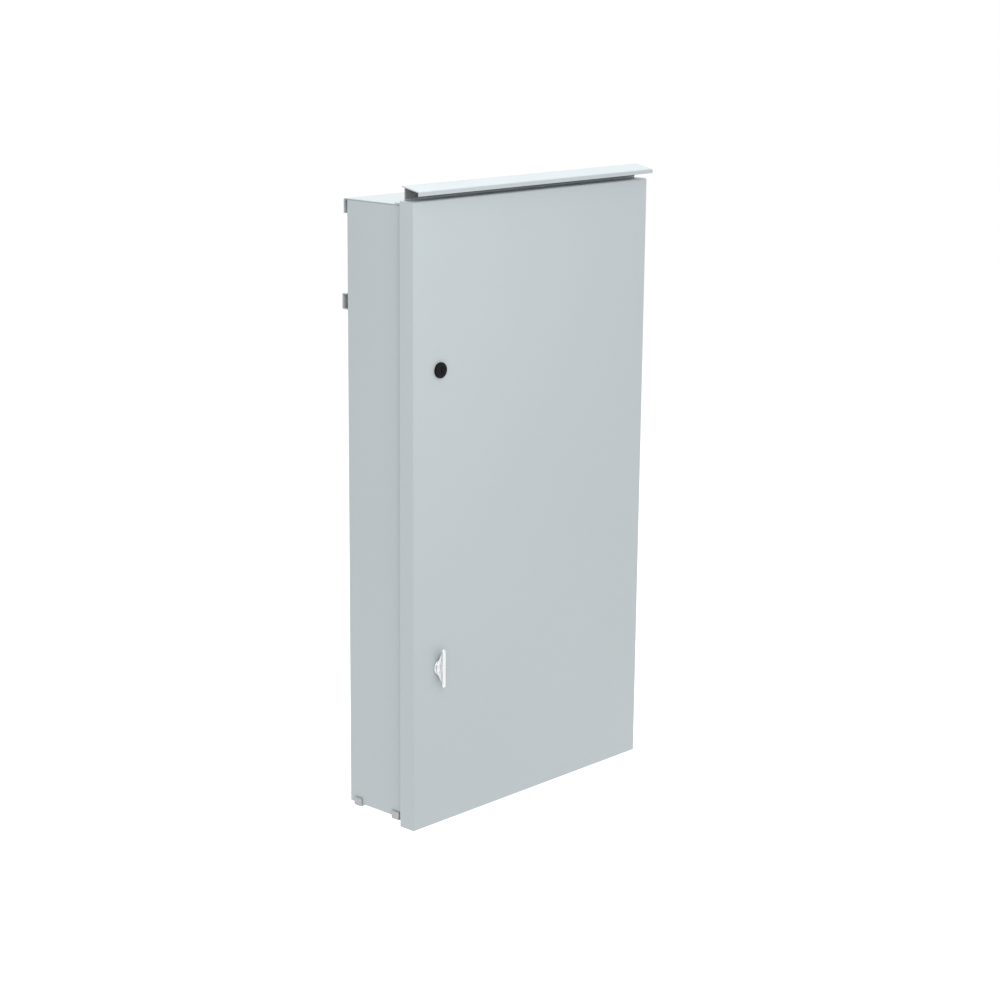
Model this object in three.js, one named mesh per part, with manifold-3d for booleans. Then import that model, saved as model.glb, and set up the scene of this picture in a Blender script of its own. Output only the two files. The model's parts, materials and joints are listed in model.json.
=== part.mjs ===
// Fire alarm control panel in a wall-mounted, raintight sheet-steel cabinet.
// Millimetres. X runs to the right, Y runs into the wall and Z runs up.
// Every function here measures Y from the wall and Z from the bottom edge of the door. The group at
// the end moves the whole cabinet down, so that the origin lies on the upper wall rail.
import * as THREE from "three";
import { mergeVertices } from "three/addons/utils/BufferGeometryUtils.js";
import Module from "manifold-3d";

const wasm = await Module();
wasm.setup();

// Driving dimensions
const SHEET = 1.5;                 // steel of the cabinet and door
const GAP = 0.3;                   // clearance between two pieces that touch
const DOOR_WIDTH = 490;
const DOOR_HEIGHT = 900;
const DOOR_SIDE = 27;              // depth of the door's side and bottom returns
const DOOR_TOP = 20;               // depth of the door's top return, short of the drip hood
const BODY_WIDTH = 480;
const BODY_BOTTOM = 11.5;
const BODY_TOP = 892.2;
const BACK_Y = -10;                // rear face of the cabinet, a rail's depth from the wall
const FLANGE_Y = -140.5;           // front face of the flanges round the cabinet's mouth
const FLANGE = 25;                 // how far those flanges reach in
const DOOR_Y = -147;               // outer face of the door
const RAIL_Z = 750;                // height of the upper wall rail's middle
const RAIL_HEIGHT = 23;
const FASTENER_X = -194;           // the lock and the wing latch share one upright line
const LOCK_Z = 665;
const LATCH_Z = 236;
const CAM_REACH = 34;              // from the axis of a lock or latch to the tip of its cam
const CAM_GAP = 3.2;               // from the mouth's flange to a cam turned behind it
const HINGE_X = 244;               // axis of the door's continuous hinge
const HINGE_Y = -116;
const KNUCKLE_RADIUS = 3.5;
const PIN_RADIUS = 1.6;
const BATTERY = { width: 181, depth: 77, height: 167 };

// Values that follow from them
const HALF_DOOR = DOOR_WIDTH / 2;
const HALF_BODY = BODY_WIDTH / 2;
const MOUTH = HALF_BODY - FLANGE;                  // half the width of the cabinet's mouth
const INNER_BACK_Y = BACK_Y - SHEET;
const SKIN_Y = DOOR_Y + SHEET;                     // inner face of the door
const FLANGE_REAR_Y = FLANGE_Y + SHEET;
const FLOOR_Z = BODY_BOTTOM + SHEET;
const ROOF_Z = BODY_TOP + GAP;
const ROOF_TOP_Z = ROOF_Z + SHEET;
const CAM_Y = FLANGE_REAR_Y + CAM_GAP;             // front face of both cams

const FINISH = {
  paint: { color: 0xbfc5c8, roughness: 0.45, metalness: 0.0 },
  hood: { color: 0xc4cacd, roughness: 0.42, metalness: 0.0 },
  darkSteel: { color: 0x4a4d50, roughness: 0.55, metalness: 0.6 },
  zinc: { color: 0xb9bcbc, roughness: 0.38, metalness: 0.9 },
  chrome: { color: 0xe6e8ea, roughness: 0.12, metalness: 1.0 },
  brass: { color: 0xb08d45, roughness: 0.35, metalness: 1.0 },
  blackPlastic: { color: 0x17181a, roughness: 0.5, metalness: 0.0 },
  greyPlastic: { color: 0x8c9193, roughness: 0.55, metalness: 0.0 },
  rubber: { color: 0x1d1e20, roughness: 0.85, metalness: 0.0 },
  circuitBoard: { color: 0x1f5a3a, roughness: 0.5, metalness: 0.0 },
  cover: { color: 0x3a3f44, roughness: 0.5, metalness: 0.0 },
  clear: { color: 0xa9bcc0, roughness: 0.08, metalness: 0.0 },
  display: { color: 0x46603c, roughness: 0.35, metalness: 0.0 },
  greenTerminal: { color: 0x2e8b4a, roughness: 0.5, metalness: 0.0 },
  coil: { color: 0x8a3b22, roughness: 0.5, metalness: 0.2 },
  battery: { color: 0x2b2d31, roughness: 0.6, metalness: 0.0 },
  redKey: { color: 0xa52a22, roughness: 0.5, metalness: 0.0 },
};

// Geometry helpers

const X_AXIS = new THREE.Vector3(1, 0, 0);
const Y_AXIS = new THREE.Vector3(0, 1, 0);
const Z_AXIS = new THREE.Vector3(0, 0, 1);

function block(x0, x1, y0, y1, z0, z1) {
  const box = new THREE.BoxGeometry(x1 - x0, y1 - y0, z1 - z0);
  return box.translate((x0 + x1) / 2, (y0 + y1) / 2, (z0 + z1) / 2);
}

function outline(points) {
  return new THREE.Shape(points.map(([a, b]) => new THREE.Vector2(a, b)));
}

function roundedRect(x0, x1, z0, z1, radius, PathType = THREE.Shape) {
  const path = new PathType();
  path.moveTo(x0 + radius, z0);
  path.absarc(x1 - radius, z0 + radius, radius, -Math.PI / 2, 0);
  path.absarc(x1 - radius, z1 - radius, radius, 0, Math.PI / 2);
  path.absarc(x0 + radius, z1 - radius, radius, Math.PI / 2, Math.PI);
  path.absarc(x0 + radius, z0 + radius, radius, Math.PI, 1.5 * Math.PI);
  return path;
}

function extrude(shape, depth) {
  return new THREE.ExtrudeGeometry(shape, { depth, bevelEnabled: false, curveSegments: 3 });
}

// A (y, z) outline pulled along X.
function alongX(shape, x0, x1) {
  const turn = new THREE.Matrix4().makeBasis(Y_AXIS, Z_AXIS, X_AXIS);
  return extrude(shape, x1 - x0).applyMatrix4(turn).translate(x0, 0, 0);
}

// An (x, z) outline pulled along Y.
function alongY(shape, y0, y1) {
  return extrude(shape, y1 - y0).rotateX(Math.PI / 2).translate(0, y1, 0);
}

// An (x, y) outline pulled along Z.
function alongZ(shape, z0, z1) {
  return extrude(shape, z1 - z0).translate(0, 0, z0);
}

function rodY(x, z, radius, y0, y1, sides = 16) {
  const rod = new THREE.CylinderGeometry(radius, radius, y1 - y0, sides);
  return rod.translate(x, (y0 + y1) / 2, z);
}

function rodZ(x, y, radius, z0, z1, sides = 12) {
  const rod = new THREE.CylinderGeometry(radius, radius, z1 - z0, sides);
  return rod.rotateX(Math.PI / 2).translate(x, y, (z0 + z1) / 2);
}

// A (radius, y) profile turned round the Y direction through (x, z), its points running to +Y on the outside.
function turnedY(profile, x, z, sides = 20) {
  const points = profile.map(([r, y]) => new THREE.Vector2(r, y));
  return new THREE.LatheGeometry(points, sides).translate(x, 0, z);
}

function toSolid(geometry) {
  const bare = geometry.clone();
  bare.deleteAttribute("normal");
  bare.deleteAttribute("uv");
  const merged = mergeVertices(bare, 1e-3);
  const vertProperties = new Float32Array(merged.attributes.position.array);
  const triVerts = new Uint32Array(merged.index.array);
  return new wasm.Manifold(new wasm.Mesh({ numProp: 3, vertProperties, triVerts }));
}

function toGeometry(solid) {
  const mesh = solid.getMesh();
  const geometry = new THREE.BufferGeometry();
  geometry.setAttribute("position", new THREE.BufferAttribute(mesh.vertProperties, 3));
  geometry.setIndex(new THREE.BufferAttribute(mesh.triVerts, 1));
  return geometry;
}

function join(...geometries) {
  return toGeometry(geometries.map(toSolid).reduce((whole, next) => whole.add(next)));
}

function cut(base, ...tools) {
  return toGeometry(tools.map(toSolid).reduce((whole, next) => whole.subtract(next), toSolid(base)));
}

const cabinet = new THREE.Group();
cabinet.position.z = -RAIL_Z;

function addPiece(name, geometry, finish, place = [0, 0, 0]) {
  const mesh = new THREE.Mesh(geometry, new THREE.MeshStandardMaterial(finish));
  mesh.name = name;
  mesh.position.set(...place);
  cabinet.add(mesh);
}

// Cabinet: one folded sheet for the back and sides, closed by an end plate at the top and bottom

function addBody() {
  const plan = outline([
    [-MOUTH, FLANGE_Y], [-MOUTH, FLANGE_REAR_Y],
    [-HALF_BODY + SHEET, FLANGE_REAR_Y], [-HALF_BODY + SHEET, INNER_BACK_Y],
    [HALF_BODY - SHEET, INNER_BACK_Y], [HALF_BODY - SHEET, FLANGE_REAR_Y],
    [MOUTH, FLANGE_REAR_Y], [MOUTH, FLANGE_Y],
    [HALF_BODY, FLANGE_Y], [HALF_BODY, BACK_Y],
    [-HALF_BODY, BACK_Y], [-HALF_BODY, FLANGE_Y],
  ]);
  addPiece("body_wrapper", alongZ(plan, BODY_BOTTOM, BODY_TOP), FINISH.paint);
}

const PLUG_X = 120;                // conduit entries in the floor, left and right
const PLUG_Y = -70;
const ENTRY_RADIUS = 14.3;

// The plate from z0 to z1, with a flange of the cabinet's mouth on its front and a short one behind.
function endPlate(z0, z1, flangeZ0, flangeZ1) {
  const wide = HALF_BODY - SHEET - GAP;
  const narrow = MOUTH - GAP;
  return join(
    block(-wide, wide, FLANGE_REAR_Y + GAP, INNER_BACK_Y - GAP, z0, z1),
    block(-narrow, narrow, FLANGE_Y, FLANGE_REAR_Y + 1, z0, z1),
    block(-narrow, narrow, FLANGE_Y, FLANGE_REAR_Y, flangeZ0, flangeZ1),
  );
}

function addEndPlates() {
  const top = endPlate(BODY_TOP - SHEET, BODY_TOP, BODY_TOP - FLANGE, BODY_TOP);
  addPiece("end_plate_top", top, FINISH.paint);
  const bottom = endPlate(BODY_BOTTOM, FLOOR_Z, BODY_BOTTOM, BODY_BOTTOM + FLANGE);
  const entries = [-PLUG_X, PLUG_X].map((x) => rodZ(x, PLUG_Y, ENTRY_RADIUS, 0, 30, 20));
  addPiece("end_plate_bottom", cut(bottom, ...entries), FINISH.paint);
}

function addConduitPlugs() {
  const barrel = ENTRY_RADIUS - GAP;
  const headTop = BODY_BOTTOM - GAP;
  ["left", "right"].forEach((side, i) => {
    const x = i === 0 ? -PLUG_X : PLUG_X;
    const solid = join(
      rodZ(x, PLUG_Y, 17, headTop - 3, headTop, 20),
      rodZ(x, PLUG_Y, barrel, headTop - 1, FLOOR_Z + 6, 20),
    );
    const hollow = rodZ(x, PLUG_Y, barrel - 1.8, headTop, 40, 20);
    addPiece(`conduit_plug_${side}`, cut(solid, hollow), FINISH.blackPlastic);
  });
}

const ROOF_REAR_Y = -4;            // rear face of the roof's back flange
const ROOF_FRONT_Y = -140.2;
const ROOF_DROP = 21;              // height of that flange
const RISER_Y = -125.5;            // front face of the drip hood's riser, just behind the door
const HOOD_FRONT_Y = -157;
const HOOD_TOP_Z = 920;
const HOOD_FALL = 6;               // how far the hood slopes down to its front edge
const HOOD_LIP = 6;                // height of the upright lip there

function addRoof() {
  const side = outline([
    [ROOF_FRONT_Y, ROOF_Z],
    [ROOF_REAR_Y - SHEET, ROOF_Z],
    [ROOF_REAR_Y - SHEET, ROOF_TOP_Z - ROOF_DROP],
    [ROOF_REAR_Y, ROOF_TOP_Z - ROOF_DROP],
    [ROOF_REAR_Y, ROOF_TOP_Z],
    [ROOF_FRONT_Y, ROOF_TOP_Z],
  ]);
  addPiece("roof_cap", alongX(side, -HALF_BODY, HALF_BODY), FINISH.hood);
}

function addDripHood() {
  const foot = ROOF_TOP_Z + GAP;
  const riser = outline([
    [RISER_Y, foot], [RISER_Y + 20, foot], [RISER_Y + 20, foot + SHEET],
    [RISER_Y + SHEET, foot + SHEET], [RISER_Y + SHEET, HOOD_TOP_Z], [RISER_Y, HOOD_TOP_Z],
  ]);
  const lipTop = HOOD_TOP_Z - HOOD_FALL;
  const lipBottom = lipTop - HOOD_LIP;
  const eave = outline([
    [HOOD_FRONT_Y, lipBottom], [HOOD_FRONT_Y + SHEET, lipBottom], [HOOD_FRONT_Y + SHEET, lipTop - SHEET],
    [RISER_Y, HOOD_TOP_Z - SHEET], [RISER_Y + SHEET, HOOD_TOP_Z - SHEET], [RISER_Y + SHEET, HOOD_TOP_Z],
    [RISER_Y, HOOD_TOP_Z], [HOOD_FRONT_Y, lipTop],
  ]);
  const hood = join(alongX(riser, -HALF_BODY, HALF_BODY), alongX(eave, -HALF_DOOR, HALF_DOOR));
  addPiece("drip_hood", hood, FINISH.hood);
}

// A channel with its web on the wall and its open side towards the cabinet.
function addWallRail(name, z, halfLength, screwXs) {
  const front = BACK_Y + GAP;
  const z0 = z - RAIL_HEIGHT / 2;
  const z1 = z + RAIL_HEIGHT / 2;
  const channel = outline([
    [0, z0], [0, z1], [front, z1], [front, z1 - SHEET],
    [-SHEET, z1 - SHEET], [-SHEET, z0 + SHEET], [front, z0 + SHEET], [front, z0],
  ]);
  const holes = screwXs.map((x) => rodY(x, z, 4.5, -5, 5));
  addPiece(name, cut(alongX(channel, -halfLength, halfLength), ...holes), FINISH.darkSteel);
}

// A small moulded foot hooked round each bottom edge of the cabinet.
function addFeet() {
  const length = 15;
  const thickness = 2.4;
  const under = BODY_BOTTOM - GAP;
  const inner = HALF_BODY + GAP;
  const hook = [
    [inner, under], [inner, under + 9], [inner + thickness, under + 9],
    [inner + thickness, under - 3.2], [inner - 16, under - 3.2], [inner - 16, under],
  ];
  const rows = { rear: -36, front: -114 };
  for (const [row, y0] of Object.entries(rows)) {
    for (const [side, sign] of [["left", -1], ["right", 1]]) {
      const shape = outline(hook.map(([x, z]) => [sign * x, z]));
      addPiece(`foot_${row}_${side}`, alongY(shape, y0, y0 + length), FINISH.rubber);
    }
  }
}

// Continuous hinge on the cabinet's right side

const KNUCKLES = 17;
const HINGE_BOTTOM = 25;
const HINGE_TOP = 875;

// Knuckles of one leaf: the cabinet's leaf has the even ones and the door's leaf the odd ones.
function knuckleSpans(first) {
  const pitch = (HINGE_TOP - HINGE_BOTTOM) / KNUCKLES;
  const spans = [];
  for (let i = first; i < KNUCKLES; i += 2) {
    const z = HINGE_BOTTOM + i * pitch;
    spans.push([z + GAP, z + pitch - GAP]);
  }
  return spans;
}

function hingeLeaf(first, x0, stripY0, stripY1, armY0, armY1) {
  const x1 = x0 + 1.2;
  const strip = block(x0, x1, stripY0, stripY1, HINGE_BOTTOM, HINGE_TOP);
  const knuckles = knuckleSpans(first).flatMap(([z0, z1]) => [
    block(x0, x1, armY0, armY1, z0, z1),
    rodZ(HINGE_X, HINGE_Y, KNUCKLE_RADIUS, z0, z1),
  ]);
  const bore = rodZ(HINGE_X, HINGE_Y, PIN_RADIUS + GAP, HINGE_BOTTOM - 5, HINGE_TOP + 5);
  return cut(join(strip, ...knuckles), bore);
}

function addHinge() {
  const fixed = hingeLeaf(0, HALF_BODY + GAP, -112, -92, HINGE_Y, -111);
  addPiece("hinge_leaf_cabinet", fixed, FINISH.paint);
  const swinging = hingeLeaf(1, HALF_DOOR + GAP, -141, -120, -121, HINGE_Y);
  addPiece("hinge_leaf_door", swinging, FINISH.paint);
  addPiece("hinge_pin", rodZ(HINGE_X, HINGE_Y, PIN_RADIUS, HINGE_BOTTOM - 2, HINGE_TOP + 2), FINISH.zinc);
}

// Door

const LOCK_BARREL = 9.3;
const LATCH_BARREL = 8.2;
const WING_HALF = 28.5;            // half the height of the latch's wing

function addDoorPan() {
  const rear = DOOR_Y + DOOR_SIDE;
  const inner = HALF_DOOR - SHEET;
  const shell = block(-HALF_DOOR, HALF_DOOR, DOOR_Y, rear, 0, DOOR_HEIGHT);
  const pan = cut(
    shell,
    block(-inner, inner, SKIN_Y, rear + 1, SHEET, DOOR_HEIGHT - SHEET),
    block(-inner, inner, DOOR_Y + DOOR_TOP, rear + 1, DOOR_HEIGHT - 5, DOOR_HEIGHT + 1),
    rodY(FASTENER_X, LOCK_Z, LOCK_BARREL + GAP, DOOR_Y - 1, SKIN_Y + 1),
    rodY(FASTENER_X, LATCH_Z, LATCH_BARREL + GAP, DOOR_Y - 1, SKIN_Y + 1),
  );
  addPiece("door_pan", pan, FINISH.paint);
}

function addGasket() {
  const outerX = HALF_BODY - 2;
  const innerX = MOUTH + 2.5;
  const ring = roundedRect(-outerX, outerX, BODY_BOTTOM + 2, BODY_TOP - 2, 6);
  const hole = roundedRect(
    -innerX, innerX, BODY_BOTTOM + FLANGE - 2.5, BODY_TOP - FLANGE + 2.5, 4, THREE.Path,
  );
  ring.holes.push(hole);
  addPiece("door_gasket", alongY(ring, SKIN_Y + GAP, FLANGE_Y - GAP), FINISH.rubber);
}

function addStiffener() {
  const base = SKIN_Y + GAP;
  const crest = SKIN_Y + 10;
  const hat = outline([
    [90, base], [106, base], [106, crest - SHEET], [124, crest - SHEET], [124, base], [140, base],
    [140, base + SHEET], [124 + SHEET, base + SHEET], [124 + SHEET, crest],
    [106 - SHEET, crest], [106 - SHEET, base + SHEET], [90, base + SHEET],
  ]);
  addPiece("door_stiffener", alongZ(hat, 60, 840), FINISH.paint);
}

const POCKET = { x0: -190, x1: 40, z0: 340, z1: 560, depth: 20 };

function addDocumentPocket() {
  const wall = 1.8;
  const rear = SKIN_Y + GAP;
  const { x0, x1, z0, z1, depth } = POCKET;
  const shell = block(x0, x1, rear, rear + depth, z0, z1);
  const hollow = block(x0 + wall, x1 - wall, rear + wall, rear + depth - wall, z0 + wall, z1 + 1);
  const thumbCut = rodY((x0 + x1) / 2, z1, 32, rear + wall + 1, rear + depth + 1, 24);
  addPiece("document_pocket", cut(shell, hollow, thumbCut), FINISH.greyPlastic);
}

function hexNut(z, acrossFlats, bore, y0, y1) {
  const corner = acrossFlats / Math.sqrt(3);
  return cut(rodY(FASTENER_X, z, corner, y0, y1, 6), rodY(FASTENER_X, z, bore, y0 - 1, y1 + 1));
}

// A flat arm with a round end, hanging straight down from the axis at (FASTENER_X, z).
function camArm(z, bore) {
  const halfWidth = 8;
  const arm = new THREE.Shape();
  arm.absarc(FASTENER_X, z, halfWidth, 0, Math.PI);
  arm.absarc(FASTENER_X, z - CAM_REACH + halfWidth, halfWidth, Math.PI, 2 * Math.PI);
  return cut(alongY(arm, CAM_Y, CAM_Y + 2), rodY(FASTENER_X, z, bore, CAM_Y - 1, CAM_Y + 3));
}

function addKeyLock() {
  const barrelEnd = CAM_Y - 0.4;
  const face = DOOR_Y - 4;
  const seat = DOOR_Y - GAP;
  const housing = turnedY([
    [5.8, barrelEnd], [5.8, face], [10.2, face], [11.2, face + 1], [11.2, seat],
    [LOCK_BARREL, seat], [LOCK_BARREL, barrelEnd], [5.8, barrelEnd],
  ], FASTENER_X, LOCK_Z);
  addPiece("lock_housing", housing, FINISH.blackPlastic);
  addPiece("lock_nut", hexNut(LOCK_Z, 24, LOCK_BARREL + GAP, SKIN_Y + GAP, SKIN_Y + 4), FINISH.zinc);
  const plug = turnedY([
    [0, face + 0.4], [5.5, face + 0.4], [5.5, barrelEnd], [3.5, barrelEnd], [3.5, CAM_Y + 5],
    [0, CAM_Y + 5],
  ], FASTENER_X, LOCK_Z);
  const keyway = block(FASTENER_X - 0.8, FASTENER_X + 0.8, face - 1, face + 9, LOCK_Z - 3.8, LOCK_Z + 3.8);
  addPiece("lock_plug", cut(plug, keyway), FINISH.blackPlastic);
  addPiece("lock_cam", camArm(LOCK_Z, 3.8), FINISH.zinc);
}

function addWingLatch() {
  const barrelEnd = CAM_Y - 0.4;
  const seat = DOOR_Y - GAP;
  const face = seat - 2.5;
  const collar = turnedY([
    [5.3, barrelEnd], [5.3, face], [9.7, face], [10.8, face + 1.2], [10.8, seat],
    [LATCH_BARREL, seat], [LATCH_BARREL, barrelEnd], [5.3, barrelEnd],
  ], FASTENER_X, LATCH_Z);
  addPiece("latch_collar", collar, FINISH.chrome);
  addPiece("latch_nut", hexNut(LATCH_Z, 22, LATCH_BARREL + GAP, SKIN_Y + GAP, SKIN_Y + 4), FINISH.zinc);
  const under = face - GAP;
  const tip = DOOR_Y - 11;
  const wing = outline([
    [under, -8], [under - 1, -8], [tip + 3, -26], [tip + 2, -WING_HALF], [tip, -WING_HALF],
    [tip, WING_HALF], [tip + 2, WING_HALF], [tip + 3, 26], [under - 1, 8], [under, 8],
  ]);
  const handle = join(
    alongX(wing, -3.2, 3.2).translate(FASTENER_X, 0, LATCH_Z),
    rodY(FASTENER_X, LATCH_Z, 9, under - 3, under),
    rodY(FASTENER_X, LATCH_Z, 5, under - 1, barrelEnd),
    rodY(FASTENER_X, LATCH_Z, 3.5, barrelEnd - 1, CAM_Y + 5),
  );
  addPiece("latch_handle", handle, FINISH.chrome);
  addPiece("latch_cam", camArm(LATCH_Z, 3.8), FINISH.zinc);
}

// Inside: the back plate on its studs and what is fixed to it

const PLATE = { x: 212, z0: 225, z1: 862, y0: -28, y1: -26 };
const PLATE_FRONT = PLATE.y0 - GAP;

function addMountingPlate() {
  const studX = PLATE.x - 9;
  const holes = [];
  [["lower", PLATE.z0 + 12], ["upper", PLATE.z1 - 12]].forEach(([row, z]) => {
    [["left", -studX], ["right", studX]].forEach(([side, x]) => {
      holes.push(rodY(x, z, 3.4, PLATE.y0 - 1, PLATE.y1 + 1, 12));
      const stud = join(
        rodY(x, z, 6, PLATE.y1 + GAP, INNER_BACK_Y - GAP, 12),
        rodY(x, z, 3, -38, PLATE.y1 + 1, 12),
        rodY(x, z, 6.5, PLATE_FRONT - 5, PLATE_FRONT, 6),
      );
      addPiece(`stud_${row}_${side}`, stud, FINISH.zinc);
    });
  });
  const sheet = alongY(roundedRect(-PLATE.x, PLATE.x, PLATE.z0, PLATE.z1, 8), PLATE.y0, PLATE.y1);
  addPiece("mounting_plate", cut(sheet, ...holes), FINISH.zinc);
}

// A circuit board on four pillars, with its larger parts fused on: each part is [x0, x1, z0, z1, height].
function board(x0, x1, z0, z1, y, parts) {
  const top = y - 1.6;
  const inset = 6;
  const pillars = [x0 + inset, x1 - inset].flatMap((x) => [
    rodY(x, z0 + inset, 3, y - 1, PLATE_FRONT, 8),
    rodY(x, z1 - inset, 3, y - 1, PLATE_FRONT, 8),
  ]);
  const blocks = parts.map(([a, b, c, d, height]) => block(a, b, top - height, y - 1, c, d));
  return join(block(x0, x1, top, y, z0, z1), ...pillars, ...blocks);
}

// A row of screw terminals with one funnel for each wire.
function terminalRow(x0, x1, z0, z1, y, height, ways) {
  const pitch = (x1 - x0) / ways;
  const wells = Array.from({ length: ways }, (_, i) => {
    const x = x0 + (i + 0.5) * pitch;
    return block(x - pitch * 0.32, x + pitch * 0.32, y - height - 1, y - height + 3, z0 + 3, z1 - 3);
  });
  return cut(block(x0, x1, y - height, y, z0, z1), ...wells);
}

function addControlElectronics() {
  const mainParts = [
    [-150, -110, 640, 680, 4], [-80, -40, 700, 740, 6], [0, 60, 640, 660, 14], [90, 150, 700, 790, 18],
    [-150, -60, 780, 800, 9],
  ];
  addPiece("main_board", board(-178, 178, 612, 836, -46, mainParts), FINISH.circuitBoard);
  const loopParts = [
    [-180, -150, 500, 530, 3], [-130, -106, 490, 520, 3], [-90, -66, 520, 560, 15], [-60, -36, 520, 560, 15],
    [-150, -110, 545, 560, 10],
  ];
  addPiece("loop_card", board(-195, -15, 430, 575, -40, loopParts), FINISH.circuitBoard);
  addPiece("loop_terminals", terminalRow(-185, -25, 445, 463, -41.9, 16, 16), FINISH.greenTerminal);
}

const SUPPLY = { x0: 15, x1: 195, z0: 425, z1: 575, depth: 52, wall: 1.2 };

// A slotted sheet case, open at the foot where the board's terminals stand.
function addPowerSupply() {
  const { x0, x1, z0, z1, depth, wall } = SUPPLY;
  const front = PLATE_FRONT - depth;
  const rear = PLATE_FRONT - 2;
  const doorway = z0 + 22;
  const shell = cut(
    block(x0, x1, front, PLATE_FRONT, z0, z1),
    block(x0 + wall, x1 - wall, front + wall, rear, doorway - 1, z1 - wall),
    block(x0 + wall, x1 - wall, front - 1, rear, z0 - 1, doorway),
  );
  const slots = Array.from({ length: 9 }, (_, i) => {
    const x = x0 + 22 + i * 17;
    return alongY(roundedRect(x - 2.5, x + 2.5, z0 + 40, z1 - 20, 2.4), front - 1, front + 2);
  });
  addPiece("power_supply_case", cut(shell, ...slots), FINISH.zinc);
  const inside = board(x0 + 6, x1 - 6, z0 + 5, z1 - 5, PLATE_FRONT - 8, [
    [x0 + 14, x0 + 54, 500, 545, 30], [x0 + 70, x0 + 95, 470, 495, 28], [x0 + 110, x0 + 118, 465, 560, 30],
  ]);
  const trimmed = cut(inside, block(x0, x1, rear - GAP, PLATE_FRONT + 1, z0, z1));
  const terminals = terminalRow(x0 + 20, x1 - 20, z0 + 6, z0 + 22, PLATE_FRONT - 9, 16, 8);
  addPiece("power_supply_board", join(trimmed, terminals), FINISH.circuitBoard);
}

// Laminated core on a footed frame. The coil wraps the core's middle leg and fills both its windows.
function addTransformer() {
  const x = -146;
  const z = 284;
  const front = PLATE_FRONT - 56;
  const rear = PLATE_FRONT - 18;
  const windows = [-18, 18].map((dx) => block(x + dx - 8, x + dx + 8, front - 1, rear + 1, z - 16, z + 16));
  const laminations = cut(block(x - 40, x + 40, front, rear, z - 28, z + 28), ...windows);
  const posts = [-36, 36].map((dx) => block(x + dx - 4, x + dx + 4, rear - 1, PLATE_FRONT, z - 28, z + 28));
  const foot = block(x - 40, x + 40, PLATE_FRONT - 4, PLATE_FRONT, z - 42, z + 42);
  addPiece("transformer_core", join(laminations, foot, ...posts), FINISH.darkSteel);
  const winding = cut(
    block(x - 26 + GAP, x + 26 - GAP, front - 12, rear + 12, z - 16 + GAP, z + 16 - GAP),
    block(x - 10 - GAP, x + 10 + GAP, front - GAP, rear + GAP, z - 20, z + 20),
  );
  addPiece("transformer_coil", winding, FINISH.coil);
}

function addMainsPieces() {
  const mains = terminalRow(-70, -10, 285, 315, PLATE_FRONT, 24, 4);
  addPiece("mains_terminals", mains, FINISH.blackPlastic);
  const fuse = join(
    block(20, 80, PLATE_FRONT - 12, PLATE_FRONT, 288, 312),
    rodY(50, 300, 9, PLATE_FRONT - 26, PLATE_FRONT - 11, 16),
  );
  addPiece("fuse_holder", fuse, FINISH.blackPlastic);
  const bar = block(30, 190, PLATE_FRONT - 10, PLATE_FRONT - 4, 244, 256);
  const feet = [40, 180].map((x) => rodY(x, 250, 4, PLATE_FRONT - 5, PLATE_FRONT, 8));
  const screws = Array.from({ length: 7 }, (_, i) => {
    return rodY(56 + i * 18, 250, 3.6, PLATE_FRONT - 13, PLATE_FRONT - 9, 8);
  });
  addPiece("earth_bar", join(bar, ...feet, ...screws), FINISH.brass);
}

const DUCT = { x: 200, z0: 348, z1: 392, depth: 42 };

function addWireDuct() {
  const wall = 2;
  const front = PLATE_FRONT - DUCT.depth;
  const slots = Array.from({ length: 19 }, (_, i) => {
    const x = (i - 9) * 20;
    return block(x - 3.5, x + 3.5, front - 1, PLATE_FRONT - 14, DUCT.z0 - 1, DUCT.z1 + 1);
  });
  const trough = cut(
    block(-DUCT.x, DUCT.x, front, PLATE_FRONT, DUCT.z0, DUCT.z1),
    block(-DUCT.x - 1, DUCT.x + 1, front - 1, PLATE_FRONT - wall, DUCT.z0 + wall, DUCT.z1 - wall),
    ...slots,
  );
  addPiece("wire_duct", trough, FINISH.greyPlastic);
}

// Control cover with the display, lamps and function buttons

const COVER = { x: 194, z0: 592, z1: 852, y: -118 };
const COVER_INNER_Y = COVER.y + SHEET;
const WINDOW = { x0: -170, x1: 10, z0: 765, z1: 825 };
const BUTTON_Z = 690;
const BUTTON_HALF_WIDTH = 22;
const BUTTON_HALF_HEIGHT = 11;
const BUTTONS = { acknowledge: -140, silence: -60, reset: 20, drill: 100 };
const LAMPS = Array.from({ length: 6 }, (_, i) => [45 + i * 24, 795]);
const SOUNDER = [150, 740];
const COVER_SCREWS = { left: [-188, 720], right: [188, 720] };

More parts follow.
